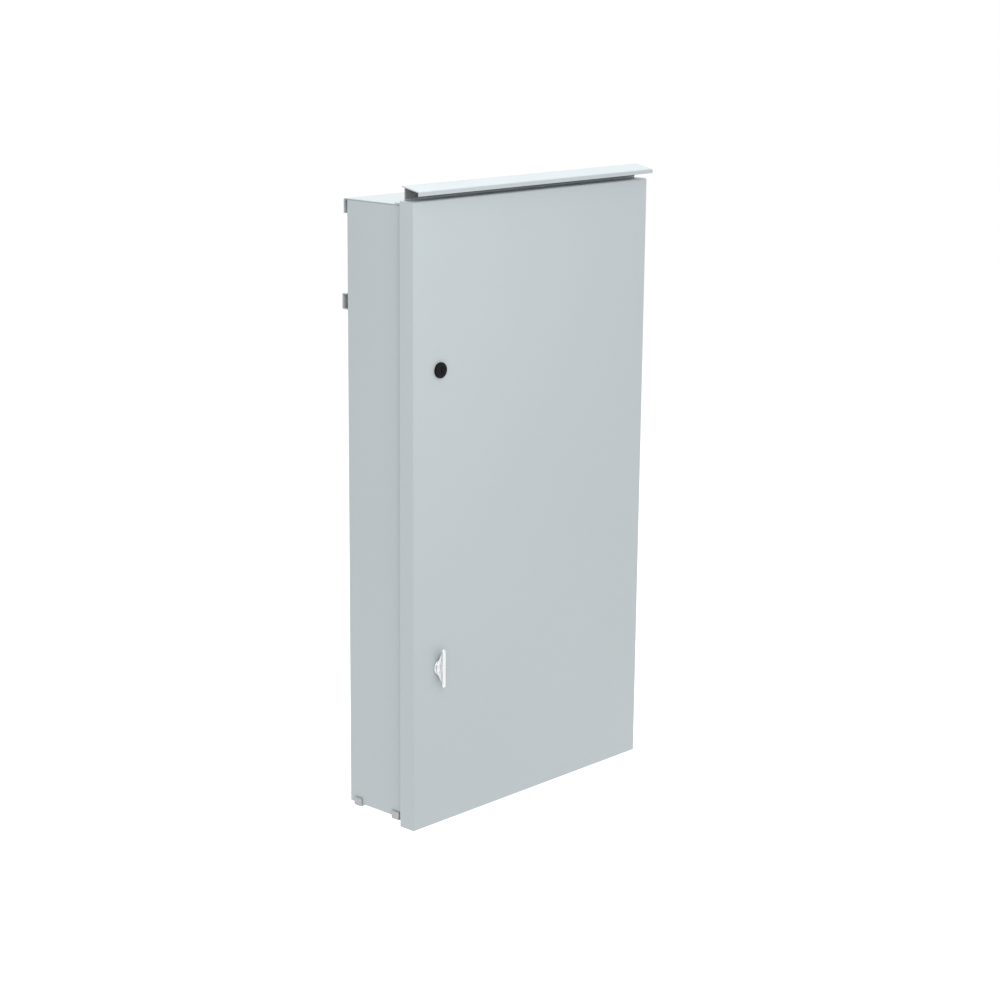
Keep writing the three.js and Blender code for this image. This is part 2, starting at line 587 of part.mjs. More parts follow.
function addControlCover() {
  const rear = PLATE_FRONT;
  const tools = [
    block(-COVER.x + SHEET, COVER.x - SHEET, COVER_INNER_Y, rear + 1, COVER.z0 + SHEET, COVER.z1 - SHEET),
    block(WINDOW.x0, WINDOW.x1, COVER.y - 1, COVER_INNER_Y + 1, WINDOW.z0, WINDOW.z1),
  ];
  for (const x of Object.values(BUTTONS)) {
    const w = BUTTON_HALF_WIDTH + 0.5;
    const h = BUTTON_HALF_HEIGHT + 0.5;
    tools.push(block(x - w, x + w, COVER.y - 1, COVER_INNER_Y + 1, BUTTON_Z - h, BUTTON_Z + h));
  }
  for (const [x, z] of LAMPS) {
    tools.push(rodY(x, z, 3.4, COVER.y - 1, COVER_INNER_Y + 1, 10));
  }
  for (const angle of [0, 1, 2, 3, 4, 5].map((i) => (i * Math.PI) / 3)) {
    const x = SOUNDER[0] + 9 * Math.cos(angle);
    const z = SOUNDER[1] + 9 * Math.sin(angle);
    tools.push(rodY(x, z, 2.2, COVER.y - 1, COVER_INNER_Y + 1, 8));
  }
  for (const [x, z] of Object.values(COVER_SCREWS)) {
    tools.push(rodY(x, z, 2.4, COVER.y - 1, COVER_INNER_Y + 1, 10));
  }
  const shell = block(-COVER.x, COVER.x, COVER.y, rear, COVER.z0, COVER.z1);
  addPiece("control_cover", cut(shell, ...tools), FINISH.cover);
}

// Long screws through the cover into the mounting plate.
function addCoverScrews() {
  for (const [side, [x, z]] of Object.entries(COVER_SCREWS)) {
    const screw = join(
      rodY(x, z, 4, COVER.y - GAP - 2.6, COVER.y - GAP, 12),
      rodY(x, z, 2, COVER.y - 1, PLATE_FRONT, 8),
    );
    addPiece(`cover_screw_${side}`, screw, FINISH.zinc);
  }
}

function addDisplay() {
  const { x0, x1, z0, z1 } = WINDOW;
  const glassY = COVER_INNER_Y + GAP;
  addPiece("display_window", block(x0 - 4, x1 + 4, glassY, glassY + 1.8, z0 - 4, z1 + 4), FINISH.clear);
  const boardY = -104.4;
  const boardTop = boardY - 1.6;
  const lcd = block(x0 - 3, x1 + 3, glassY + 2.1, boardTop - GAP, z0 - 3, z1 + 3);
  addPiece("display_module", lcd, FINISH.display);
  const parts = [block(-178, 178, boardTop, boardY, 670, 832)];
  for (const [x, z] of [[-172, 676], [172, 676], [-172, 745], [172, 826]]) {
    parts.push(rodY(x, z, 3, COVER_INNER_Y + GAP, boardY - 1, 8));
  }
  for (const [x, z] of LAMPS) {
    parts.push(rodY(x, z, 3, COVER.y - 1.5, boardY - 1, 10));
  }
  for (const x of Object.values(BUTTONS)) {
    parts.push(block(x - 6, x + 6, boardTop - 3, boardTop + 1, BUTTON_Z - 6, BUTTON_Z + 6));
  }
  parts.push(rodY(...SOUNDER, 13, COVER_INNER_Y + GAP, boardTop + 1, 20));
  addPiece("display_board", join(...parts), FINISH.circuitBoard);
}

function addButtons() {
  const w = BUTTON_HALF_WIDTH;
  const h = BUTTON_HALF_HEIGHT;
  const rimY = COVER_INNER_Y + GAP;
  const cap = join(
    alongY(roundedRect(-w, w, -h, h, 2.5), COVER.y - 3, rimY + 1),
    block(-w - 2.5, w + 2.5, rimY, rimY + 1.5, -h - 2.5, h + 2.5),
    rodY(0, 0, 3, rimY + 1, -110.8, 8),
  );
  for (const [name, x] of Object.entries(BUTTONS)) {
    const finish = name === "drill" ? FINISH.redKey : FINISH.greyPlastic;
    addPiece(`button_${name}`, cap.clone(), finish, [x, 0, BUTTON_Z]);
  }
}

// Standby batteries on their tray

const TRAY_Z = 38.5;
const BATTERY_REAR_Y = -15;
const BATTERY_FRONT_Y = BATTERY_REAR_Y - BATTERY.depth;
const BATTERY_X = BATTERY.width / 2 + 5;

function addBatteries() {
  const half = BATTERY.width / 2;
  const top = BATTERY.height;
  const tab = (x) => block(x - 4, x + 4, -34, -32, top - 1, top + 8);
  const lid = block(-half, half, -BATTERY.depth, 0, top - 22, top);
  const jar = block(-half + 1.5, half - 1.5, -BATTERY.depth + 1.5, -1.5, 0, top - 21);
  const whole = join(jar, lid, tab(-half + 16), tab(half - 16));
  const z = TRAY_Z + GAP;
  addPiece("battery_left", whole, FINISH.battery, [-BATTERY_X, BATTERY_REAR_Y, z]);
  addPiece("battery_right", whole.clone(), FINISH.battery, [BATTERY_X, BATTERY_REAR_Y, z]);
}

function addBatteryTray() {
  const front = BATTERY_FRONT_Y - 6;
  const rear = INNER_BACK_Y - GAP;
  const foot = FLOOR_Z + GAP;
  const section = outline([
    [-200, foot], [-200 + SHEET, foot], [-200 + SHEET, TRAY_Z - SHEET], [200 - SHEET, TRAY_Z - SHEET],
    [200 - SHEET, foot], [200, foot], [200, TRAY_Z], [-200, TRAY_Z],
  ]);
  const lip = block(-200, 200, front, front + SHEET, TRAY_Z - 1, TRAY_Z + 14);
  addPiece("battery_tray", join(alongY(section, front, rear), lip), FINISH.zinc);
}

// One flat strap round both batteries, its ends turned out against the back of the cabinet.
function addBatteryStrap() {
  const thick = 1.6;
  const x = BATTERY_X + BATTERY.width / 2 + 1;
  const outer = x + thick;
  const front = BATTERY_FRONT_Y - 1 - thick;
  const rear = INNER_BACK_Y - GAP;
  const half = [
    [outer, front], [outer, rear - thick], [outer + 14, rear - thick], [outer + 14, rear], [x, rear],
    [x, front + thick],
  ];
  const mirrored = half.map(([a, b]) => [-a, b]).reverse();
  addPiece("battery_strap", alongZ(outline([...half, ...mirrored]), 118, 138), FINISH.zinc);
}

// Tamper switch behind the mouth's left flange, pressed by the door

const TAMPER = { x: -208, z: 815 };

function addTamperSwitch() {
  const wallX = -HALF_BODY + SHEET + GAP;
  const { x, z } = TAMPER;
  const body = join(
    block(wallX, wallX + SHEET, -131, -101, z - 15, z + 15),
    block(wallX, x + 6, -116.5, -115, z - 15, z + 15),
    block(x - 6, x + 6, -135, -116, z - 12, z + 12),
  );
  addPiece("tamper_switch", cut(body, rodY(x, z, 2.8, -136, -125, 12)), FINISH.blackPlastic);
  addPiece("tamper_plunger", rodY(x, z, 2.4, SKIN_Y + GAP, -128.5, 12), FINISH.redKey);
}

addBody();
addEndPlates();
addConduitPlugs();
addRoof();
addDripHood();
addWallRail("wall_rail_upper", RAIL_Z, HALF_BODY, [-200, -80, 80, 200]);
addWallRail("wall_rail_lower", 150, 150, [-120, 120]);
addFeet();
addHinge();
addDoorPan();
addGasket();
addStiffener();
addDocumentPocket();
addKeyLock();
addWingLatch();
addMountingPlate();
addControlElectronics();
addPowerSupply();
addTransformer();
addMainsPieces();
addWireDuct();
addControlCover();
addCoverScrews();
addDisplay();
addButtons();
addBatteryTray();
addBatteries();
addBatteryStrap();
addTamperSwitch();

const panel = new THREE.Group();
panel.add(cabinet);

export default panel;
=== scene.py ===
import json
import math
import random

import bmesh
import bpy
from mathutils import Matrix, Vector


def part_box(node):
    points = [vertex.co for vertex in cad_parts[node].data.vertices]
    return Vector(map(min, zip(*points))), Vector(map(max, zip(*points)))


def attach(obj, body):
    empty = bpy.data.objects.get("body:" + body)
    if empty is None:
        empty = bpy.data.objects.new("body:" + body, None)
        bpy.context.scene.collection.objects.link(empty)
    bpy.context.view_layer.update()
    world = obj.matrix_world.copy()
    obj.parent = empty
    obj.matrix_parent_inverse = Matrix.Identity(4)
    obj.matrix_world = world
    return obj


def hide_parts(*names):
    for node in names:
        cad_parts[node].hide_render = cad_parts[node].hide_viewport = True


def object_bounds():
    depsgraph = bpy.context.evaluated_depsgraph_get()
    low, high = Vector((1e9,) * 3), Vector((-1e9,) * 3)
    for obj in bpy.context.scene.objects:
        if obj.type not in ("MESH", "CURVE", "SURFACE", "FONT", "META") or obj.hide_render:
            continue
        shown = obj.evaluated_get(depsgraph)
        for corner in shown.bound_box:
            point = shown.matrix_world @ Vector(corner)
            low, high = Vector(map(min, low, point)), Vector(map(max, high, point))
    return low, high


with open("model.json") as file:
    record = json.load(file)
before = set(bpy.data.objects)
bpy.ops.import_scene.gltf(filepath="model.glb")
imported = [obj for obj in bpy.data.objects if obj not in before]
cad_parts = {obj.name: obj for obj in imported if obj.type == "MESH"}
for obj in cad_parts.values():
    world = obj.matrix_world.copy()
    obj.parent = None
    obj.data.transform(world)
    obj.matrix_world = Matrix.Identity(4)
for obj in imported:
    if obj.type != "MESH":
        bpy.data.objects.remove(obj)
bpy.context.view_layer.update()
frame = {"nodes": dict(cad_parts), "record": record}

MM = 0.001
SHEET = 1.5     # steel of the cabinet and door
BEND = 2.6      # outer radius of a fold in that steel
RIM = 0.25      # softening of a cut edge
ROUND = 40      # sides of a turned piece
BOARD_THICK = 1.6
KEYS = ("button_acknowledge", "button_silence", "button_reset", "button_drill")
chance = random.Random(7)

BODY_OF = {n: body for body, nodes in frame["record"]["behaviour"]["bodies"].items() for n in nodes}


class Span:
    """The box that a CAD node fills, in millimetres: its low and high corners and its middle."""

    def __init__(self, node):
        low, high = ([v / MM for v in corner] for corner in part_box(node))
        self.x0, self.y0, self.z0 = low
        self.x1, self.y1, self.z1 = high
        self.x, self.y, self.z = ((a + b) / 2 for a, b in zip(low, high))

    def face(self, inset=0.0):
        """Its outline from the front, drawn in by inset."""
        return self.x0 + inset, self.x1 - inset, self.z0 + inset, self.z1 - inset

    def plan(self, inset=0.0):
        """Its outline from above, drawn in by inset."""
        return self.x0 + inset, self.x1 - inset, self.y0 + inset, self.y1 - inset


def linked(name, data):
    piece = bpy.data.objects.new(name, data)
    bpy.context.collection.objects.link(piece)
    return piece


def settled(thing, **settings):
    for key, value in settings.items():
        setattr(thing, key, value)
    return thing


# Camera, light and floor

CAMERA_AZIMUTH = math.radians(-46.93)
CAMERA_ELEVATION = math.radians(13.57)
CAMERA_ROLL = math.radians(0.53)
CAMERA_LENS = 83.4
CAMERA_AWAY = Vector((-0.0479, -0.0022, 3.385))     # right, up and back from the door's middle


def add_camera():
    door = Span("door_pan")
    heading = Matrix.Rotation(CAMERA_AZIMUTH, 4, "Z")
    tilt = Matrix.Rotation(math.radians(90) - CAMERA_ELEVATION, 4, "X")
    turn = heading @ tilt @ Matrix.Rotation(CAMERA_ROLL, 4, "Z")
    place = Vector((door.x, door.y0, door.z)) * MM + turn @ CAMERA_AWAY
    camera = linked("camera", settled(bpy.data.cameras.new("camera"), lens=CAMERA_LENS, clip_end=100))
    camera.matrix_world = Matrix.Translation(place) @ turn
    bpy.context.scene.camera = camera


def add_softbox(name, place, aim, width, height, watts):
    data = bpy.data.lights.new(name, "AREA")
    lamp = linked(name, settled(data, shape="RECTANGLE", size=width, size_y=height, energy=watts))
    turn = (Vector(aim) - Vector(place)).to_track_quat("-Z", "Y").to_matrix().to_4x4()
    settled(lamp, visible_camera=False, matrix_world=Matrix.Translation(Vector(place)) @ turn)


def add_studio():
    world = bpy.data.worlds.new("studio")
    world.use_nodes = True
    background = world.node_tree.nodes["Background"]
    background.inputs["Color"].default_value = (1.0, 1.0, 1.0, 1.0)
    background.inputs["Strength"].default_value = 1.03
    bpy.context.scene.world = world
    settled(bpy.context.scene.view_settings, view_transform="Standard", look="None")
    add_softbox("overhead", (0.9, 0.95, 2.4), (0.9, 0.95, 0), 2.0, 2.0, 78)
    add_softbox("front_left", (-0.55, -1.0, 0.35), (-0.2, -0.15, 0.08), 0.7, 0.7, 3.9)


# Node materials

class Finish:
    """A Principled material whose colour, roughness and bump come from textures in the object's own space."""

    def __init__(self, name, colour, roughness, metallic=0.0, **sockets):
        self.material = bpy.data.materials.new(name)
        self.material.use_nodes = True
        self.tree = self.material.node_tree
        self.shader = self.tree.nodes["Principled BSDF"]
        self.colour = colour
        fixed = {"Base Color": (*colour, 1), "Roughness": roughness, "Metallic": metallic, **sockets}
        for socket, value in fixed.items():
            self.shader.inputs[socket.replace("_", " ")].default_value = value
        self.space = self.tree.nodes.new("ShaderNodeTexCoord").outputs["Object"]
        self.normal = None

    def node(self, kind, inputs, **settings):
        node = settled(self.tree.nodes.new(kind), **settings)
        for key, value in inputs.items():
            if isinstance(value, bpy.types.NodeSocket):
                self.tree.links.new(value, node.inputs[key])
            else:
                node.inputs[key].default_value = value
        return node

    def noise(self, scale, detail=3.0, stretch=(1, 1, 1)):
        space = self.node("ShaderNodeMapping", {"Vector": self.space, "Scale": stretch}).outputs["Vector"]
        inputs = {"Vector": space, "Scale": scale, "Detail": detail}
        return self.node("ShaderNodeTexNoise", inputs).outputs["Fac"]

    def bands(self, direction, pitch):
        inputs = {"Vector": self.space, "Scale": math.pi / 10 / pitch}
        return self.node("ShaderNodeTexWave", inputs, bands_direction=direction).outputs["Fac"]

    def remap(self, value, low, high, start=0.0, end=1.0):
        inputs = {"Value": value, "From Min": start, "From Max": end, "To Min": low, "To Max": high}
        return self.node("ShaderNodeMapRange", inputs).outputs["Result"]

    def maths(self, operation, a, b):
        return self.node("ShaderNodeMath", {0: a, 1: b}, operation=operation).outputs[0]

    def blend(self, factor, first, second):
        ends = [c if isinstance(c, bpy.types.NodeSocket) else (*c, 1) for c in (first, second)]
        return self.node("ShaderNodeMix", {0: factor, 6: ends[0], 7: ends[1]}, data_type="RGBA").outputs[2]

    def feed(self, socket, value):
        self.tree.links.new(value, self.shader.inputs[socket])

    def mottle(self, scale, amount, detail=3.0, stretch=(1, 1, 1), over=None):
        """Lets the colour wander up and down by the share amount."""
        dark = [c * (1 - amount) for c in self.colour]
        light = [min(1.0, c * (1 + amount)) for c in self.colour]
        socket = self.blend(self.remap(self.noise(scale, detail, stretch), 0, 1, 0.3, 0.7), dark, light)
        if over is not None:
            socket = self.blend(0.5, over, socket)
        self.feed("Base Color", socket)
        return socket

    def vary_roughness(self, scale, low, high, stretch=(1, 1, 1)):
        self.feed("Roughness", self.remap(self.noise(scale, 4.0, stretch), low, high, 0.3, 0.7))

    def bump(self, height, distance, strength=1.0):
        inputs = {"Height": height, "Distance": distance, "Strength": strength}
        if self.normal is not None:
            inputs["Normal"] = self.normal
        self.normal = self.node("ShaderNodeBump", inputs).outputs["Normal"]
        self.feed("Normal", self.normal)

    def worn(self, mottling, roughness, height=None, distance=0.0, strength=1.0):
        """The material, mottled and with roughness that wanders, and with a bump of distance millimetres."""
        self.mottle(*mottling)
        self.vary_roughness(*roughness)
        if height is not None:
            self.bump(height, distance * MM, strength)
        return self.material


def powder_coat(name, colour, roughness):
    """Satin powder coat: orange peel, a slight unevenness of the sheet and faint handling marks."""
    coat = Finish(name, colour, roughness, Specular_IOR_Level=0.42)
    broad = coat.mottle(3.5, 0.018)
    coat.mottle(900, 0.03, 2.0, over=broad)
    coat.vary_roughness(14, roughness - 0.05, roughness + 0.06)
    coat.bump(coat.noise(3.0, 1.0), 0.9 * MM, 0.25)
    coat.bump(coat.noise(620, 2.0), 0.05 * MM, 0.55)
    return coat.material


def zinc_plate(name, colour, low, high, stretch=(1, 1, 1)):
    plate = Finish(name, colour, low, 1.0)
    broad = plate.mottle(18, 0.09)
    plate.mottle(160, 0.05, 5.0, stretch, over=broad)
    plate.vary_roughness(70, low, high, stretch)
    plate.bump(plate.noise(900, 3.0, stretch), 0.03 * MM, 0.5)
    return plate.material


def polished(name, colour, low, high, metallic=1.0):
    metal = Finish(name, colour, low, metallic)
    return metal.worn((60, 0.02), (90, low, high), metal.noise(240, 2.0), 0.01, 0.15)


def moulded(name, colour, roughness, grain=1400, depth=0.03, specular=0.5):
    plastic = Finish(name, colour, roughness, Specular_IOR_Level=specular)
    wander = (120, roughness - 0.06, roughness + 0.07)
    return plastic.worn((30, 0.05), wander, plastic.noise(grain, 2.0), depth, 0.6)


def foam(name, colour):
    rubber = Finish(name, colour, 0.85)
    return rubber.worn((300, 0.12), (200, 0.76, 0.95), rubber.noise(1500, 4.0), 0.12, 0.8)


def solder_mask(name, colour):
    """A printed board: straight tracks under the mask, and plated holes."""
    mask = Finish(name, colour, 0.38, Coat_Weight=0.3, Coat_Roughness=0.2)
    across, along = (mask.remap(mask.bands(way, 1.3 * MM), 0, 1, 0.72, 0.80) for way in "XZ")
    patch = mask.remap(mask.noise(55, 1.0), 0, 1, 0.49, 0.51)
    tracks = mask.maths("ADD", mask.maths("MULTIPLY", across, patch),
                        mask.maths("MULTIPLY", along, mask.maths("SUBTRACT", 1.0, patch)))
    empty = mask.remap(mask.noise(38, 1.0), 0, 1, 0.44, 0.46)
    tracks = mask.maths("MULTIPLY", tracks, empty)
    lighter = [c * 1.9 for c in colour]
    cells = mask.node("ShaderNodeTexVoronoi", {"Vector": mask.space, "Scale": 210}).outputs["Distance"]
    holes = mask.remap(cells, 1, 0, 0.16, 0.20)
    base = mask.blend(tracks, colour, lighter)
    mask.feed("Base Color", mask.blend(holes, base, (0.62, 0.60, 0.52)))
    mask.vary_roughness(80, 0.32, 0.46)
    mask.bump(tracks, 0.04 * MM, 0.6)
    return mask.material


def wound_wire(name, colour):
    wire = Finish(name, colour, 0.30, 0.35, Coat_Weight=0.5, Coat_Roughness=0.12)
    return wire.worn((45, 0.16), (90, 0.24, 0.40), wire.bands("Z", 0.9 * MM), 0.25, 0.9)


def laminated(name, colour):
    steel = Finish(name, colour, 0.55, 0.4)
    return steel.worn((90, 0.2), (60, 0.45, 0.7), steel.bands("Y", 1.0 * MM), 0.12, 0.9)


def liquid_crystal(name, colour):
    """A blank backlit character display, with the faint grid of its dots."""
    glow = Finish(name, colour, 0.3, Emission_Strength=0.22, Emission_Color=(*colour, 1))
    columns, rows = (glow.remap(glow.bands(way, 0.9 * MM), 0, 1, 0.1, 0.35) for way in "XZ")
    dots = glow.maths("MULTIPLY", columns, rows)
    glow.feed("Base Color", glow.blend(dots, [c * 0.8 for c in colour], colour))
    glow.vary_roughness(20, 0.26, 0.34)
    return glow.material


def window_glass(name):
    pane = Finish(name, (0.93, 0.97, 0.97), 0.03, IOR=1.49, Transmission_Weight=1.0)
    pane.vary_roughness(40, 0.02, 0.05)
    return pane.material


def lamp_lens(name, colour, glow=0.15):
    lens = Finish(name, colour, 0.16, Coat_Weight=0.5, Emission_Strength=glow, Emission_Color=(*colour, 1))
    return lens.worn((500, 0.08), (300, 0.12, 0.22))


PAINT = powder_coat("cabinet_grey", (0.395, 0.437, 0.454), 0.40)
COVER_PAINT = powder_coat("cover_charcoal", (0.050, 0.055, 0.061), 0.46)
RAIL_PAINT = powder_coat("rail_dark", (0.45, 0.464, 0.472), 0.5)
ZINC = zinc_plate("zinc", (0.66, 0.67, 0.665), 0.30, 0.48)
BRUSHED = zinc_plate("brushed_zinc", (0.70, 0.70, 0.69), 0.30, 0.42, (0.25, 1, 2.5))
CHROME = polished("satin_chrome", (0.74, 0.75, 0.76), 0.14, 0.24, 0.8)
BRASS = polished("brass", (0.73, 0.53, 0.24), 0.28, 0.38)
TINNED = polished("tinned", (0.78, 0.78, 0.77), 0.22, 0.34)
BLACK = moulded("black_plastic", (0.022, 0.022, 0.025), 0.42)
LOCK_BLACK = moulded("lock_black", (0.005, 0.005, 0.006), 0.50, 900, 0.015, 0.12)
GREY = moulded("grey_plastic", (0.36, 0.38, 0.39), 0.5)
KEY_GREY = moulded("key_grey", (0.30, 0.32, 0.33), 0.45)
KEY_RED = moulded("key_red", (0.40, 0.026, 0.022), 0.40)
GREEN = moulded("terminal_green", (0.035, 0.30, 0.10), 0.42)
BATTERY_GREY = moulded("battery_grey", (0.052, 0.056, 0.064), 0.5, 500, 0.06)
RED = moulded("red_plastic", (0.55, 0.03, 0.025), 0.35)
SLEEVE = moulded("capacitor_sleeve", (0.020, 0.045, 0.14), 0.3)
RELAY = moulded("relay_white", (0.62, 0.63, 0.62), 0.35)
BLANK_LABEL = moulded("blank_label", (0.55, 0.56, 0.55), 0.6)
FOAM = foam("gasket_foam", (0.030, 0.031, 0.033))
RUBBER = foam("foot_rubber", (0.390, 0.400, 0.410))
# Dark foam for the strip under the hood: painted shade, standing in for the shadow inside the hood's open
# end.
HOOD_SHADE_STRIP = foam("painted_shade_foam", (0.16, 0.165, 0.17))
BOARD = solder_mask("board_green", (0.012, 0.105, 0.050))
WIRE = wound_wire("winding", (0.46, 0.17, 0.07))
TAPE = moulded("winding_tape", (0.62, 0.47, 0.12), 0.3)
CORE = laminated("core_steel", (0.085, 0.088, 0.095))
LCD = liquid_crystal("display_green", (0.30, 0.40, 0.11))
GLASS = window_glass("window")
LAMPS = {
    "green": lamp_lens("lamp_green", (0.04, 0.50, 0.10), 0.5),
    "amber": lamp_lens("lamp_amber", (0.65, 0.33, 0.02)),
    "red": lamp_lens("lamp_red", (0.52, 0.02, 0.015)),
}


# Mesh code

def to_world(axis, a, b, along):
    """A point of an outline drawn across axis: (y, z) for X, (x, z) for Y and (x, y) for Z."""
    return {"X": (along, a, b), "Y": (a, along, b), "Z": (a, b, along)}[axis]


def outlined(bm, points, axis, along):
    return [bm.verts.new(to_world(axis, a, b, along)) for a, b in points]


def bridge(bm, rings, closed=False, capped=False):
    """Skins a row of rings. closed joins the last to the first, and capped fills both ends."""
    if capped:
        bm.faces.new(rings[0])
        bm.faces.new(rings[-1])
    for low, high in zip(rings, rings[1:] + (rings[:1] if closed else [])):
        for i in range(len(low)):
            j = (i + 1) % len(low)
            bm.faces.new((low[i], low[j], high[j], high[i]))


def prism(bm, points, axis, low, high):
    bridge(bm, [outlined(bm, points, axis, along) for along in (low, high)], capped=True)


def block(bm, x0, x1, y0, y1, z0, z1):
    prism(bm, [(x0, z0), (x1, z0), (x1, z1), (x0, z1)], "Y", y0, y1)


def arc(cx, cy, radius, start, end, steps=6):
    turns = [math.radians(start + (end - start) * i / steps) for i in range(steps + 1)]
    return [(cx + radius * math.cos(t), cy + radius * math.sin(t)) for t in turns]


def rounded_rect(x0, x1, z0, z1, r, steps=5):
    return (arc(x1 - r, z0 + r, r, -90, 0, steps) + arc(x1 - r, z1 - r, r, 0, 90, steps)
            + arc(x0 + r, z1 - r, r, 90, 180, steps) + arc(x0 + r, z0 + r, r, 180, 270, steps))


def circle(bm, x, z, radius, y, sides, turn=0.0):
    turns = [2 * math.pi * i / sides + turn for i in range(sides)]
    return [bm.verts.new((x + radius * math.cos(t), y, z + radius * math.sin(t))) for t in turns]


def lathe(bm, profile, x, z, sides=ROUND):
    """Turns a (radius, y) profile round the Y direction through (x, z). A radius of 0 closes the end."""
    rings = [circle(bm, x, z, radius, y, sides if radius else 1) for radius, y in profile]
    for low, high in zip(rings, rings[1:]):
        for i in range(sides):
            j = (i + 1) % sides
            corners = [low[i % len(low)], low[j % len(low)], high[j % len(high)], high[i % len(high)]]
            bm.faces.new(list(dict.fromkeys(corners)))


def rod(bm, x, z, radius, y0, y1, sides=ROUND):
    lathe(bm, [(0, y0), (radius, y0), (radius, y1), (0, y1)], x, z, sides)


def pad(bm, a0, a1, b0, b1, radius, low, high, steps=5, axis="Y"):
    """A plate with rounded corners, as thick as low to high along axis."""
    prism(bm, rounded_rect(a0, a1, b0, b1, radius, steps), axis, low, high)


def spread(low, high, margin, count):
    """count places evenly spaced from low + margin to high - margin."""
    return [low + margin + i * (high - low - 2 * margin) / (count - 1) for i in range(count)]


def closed_lathe(bm, profile, x, z, sides=ROUND):
    """A ring: the profile's last point joins its first."""
    start = len(bm.verts)
    lathe(bm, list(profile) + [profile[0]], x, z, sides)
    bm.verts.ensure_lookup_table()
    bmesh.ops.remove_doubles(bm, verts=bm.verts[start:], dist=0.001)


def strip(bm, path, thickness, radius, axis, low, high, steps=5):
    """Folded sheet: path is one face of it, the metal lies to its left, and each corner is a bend."""
    def left(way):
        return Vector((-way.y, way.x))

    points = [Vector(p) for p in path]
    ways = [(b - a).normalized() for a, b in zip(points, points[1:])]
    pairs = [(points[0], points[0] + left(ways[0]) * thickness)]
    for point, come, go in zip(points[1:], ways, ways[1:]):
        turn = math.atan2(come.x * go.y - come.y * go.x, come.dot(go))
        side, face = (1, radius) if turn > 0 else (-1, radius - thickness)
        centre = point - come * face * math.tan(abs(turn) / 2) + left(come) * face * side
        heading = math.atan2(come.y, come.x)
        for k in range(steps + 1):
            angle = heading + turn * k / steps
            out = Vector((-math.sin(angle), math.cos(angle)))
            edge = centre - out * face * side
            pairs.append((edge, edge + out * thickness))
    pairs.append((points[-1], points[-1] + left(ways[-1]) * thickness))
    bottom, top = ([outlined(bm, pair, axis, along) for pair in pairs] for along in (low, high))
    for here, after, over, past in zip(bottom, bottom[1:], top, top[1:]):
        bm.faces.new((here[0], after[0], past[0], over[0]))
        bm.faces.new((here[1], over[1], past[1], after[1]))
        bm.faces.new((here[0], here[1], after[1], after[0]))
        bm.faces.new((over[0], past[0], past[1], over[1]))
    for i in (0, -1):
        bm.faces.new((bottom[i][0], top[i][0], top[i][1], bottom[i][1]))


def stamp(bm, mesh, place, turn=None):
    """Adds a copy of a finished mesh to bm."""
    copy = mesh.copy()
    copy.transform(Matrix.Translation(Vector(place)) @ (turn or Matrix.Identity(4)) @ Matrix.Scale(1 / MM, 4))
    bm.from_mesh(copy)
    bpy.data.meshes.remove(copy)


def as_mesh(bm, name="part"):
    """The finished mesh, in metres."""
    bmesh.ops.recalc_face_normals(bm, faces=bm.faces)
    bm.transform(Matrix.Scale(MM, 4))
    mesh = bpy.data.meshes.new(name)
    bm.to_mesh(mesh)
    bm.free()
    return mesh


def solid(shape):
    return as_mesh(shape) if isinstance(shape, bmesh.types.BMesh) else shape


def applied(piece, *helpers):
    """The piece's mesh with its modifiers applied. The piece and its helpers are removed."""
    graph = bpy.context.evaluated_depsgraph_get()
    result = bpy.data.meshes.new_from_object(piece.evaluated_get(graph))
    for obj in (piece, *helpers):
        bpy.data.objects.remove(obj)
    return result


def carved(shape, *cutters):
    """shape less each of the cutters, all closed."""
    for cutter in cutters:
        holder = linked("carve", solid(shape))
        tool = linked("tool", solid(cutter))
        settled(holder.modifiers.new("cut", "BOOLEAN"), operation="DIFFERENCE", solver="EXACT", object=tool)
        shape = applied(holder, tool)
    return shape


def publish(name, shape, material, node=None, body="cabinet", rim=RIM, segments=2, sharp=35.0):
    """Makes the shape an object, with soft edges, on its body. node is the CAD node it stands for."""
    mesh = solid(shape)
    for face in mesh.polygons:
        face.use_smooth = True
    mesh.set_sharp_from_angle(angle=math.radians(sharp))
    mesh.materials.clear()
    mesh.materials.append(material)
    piece = linked(name, mesh)
    if rim:
        bevel = piece.modifiers.new("soft_edges", "BEVEL")
        settled(bevel, width=rim * MM, segments=segments, limit_method="ANGLE", harden_normals=True,
                angle_limit=math.radians(sharp), use_clamp_overlap=True)
    if node:
        body = BODY_OF[node]
        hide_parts(node)
    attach(piece, body)


def cad_mesh(node):
    """A clean copy of a CAD node's mesh: shared corners joined and flat faces whole."""
    source = frame["nodes"][node]
    bm = bmesh.new()
    bm.from_mesh(source.data)
    bm.transform(source.matrix_world)
    bmesh.ops.remove_doubles(bm, verts=bm.verts, dist=0.01 * MM)
    bmesh.ops.dissolve_limit(bm, angle_limit=math.radians(0.5), verts=bm.verts, edges=bm.edges)
    bm.transform(Matrix.Scale(1 / MM, 4))
    return as_mesh(bm, node)


def turned(name, profile, span, material, node=None, closed=False, sides=ROUND, body="cabinet"):
    """A piece that is one turned profile, on the span's middle."""
    bm = bmesh.new()
    (closed_lathe if closed else lathe)(bm, profile, span.x, span.z, sides)
    publish(name, bm, material, node, body, rim=0)


def softened(node, material, rim=RIM, segments=2):
    publish(f"{node}_shell", cad_mesh(node), material, node, rim=rim, segments=segments)


def rivet(radius, height):
    """A low round head, its top towards -Y and its seat at y = 0."""
    bm = bmesh.new()
    rise = [(radius * math.cos(t), -height * math.sin(t)) for t in (math.radians(18 * k) for k in range(5))]
    lathe(bm, [(0, 0.1), (radius, 0.1), *rise, (0, -height)], 0, 0, 24)
    return as_mesh(bm)


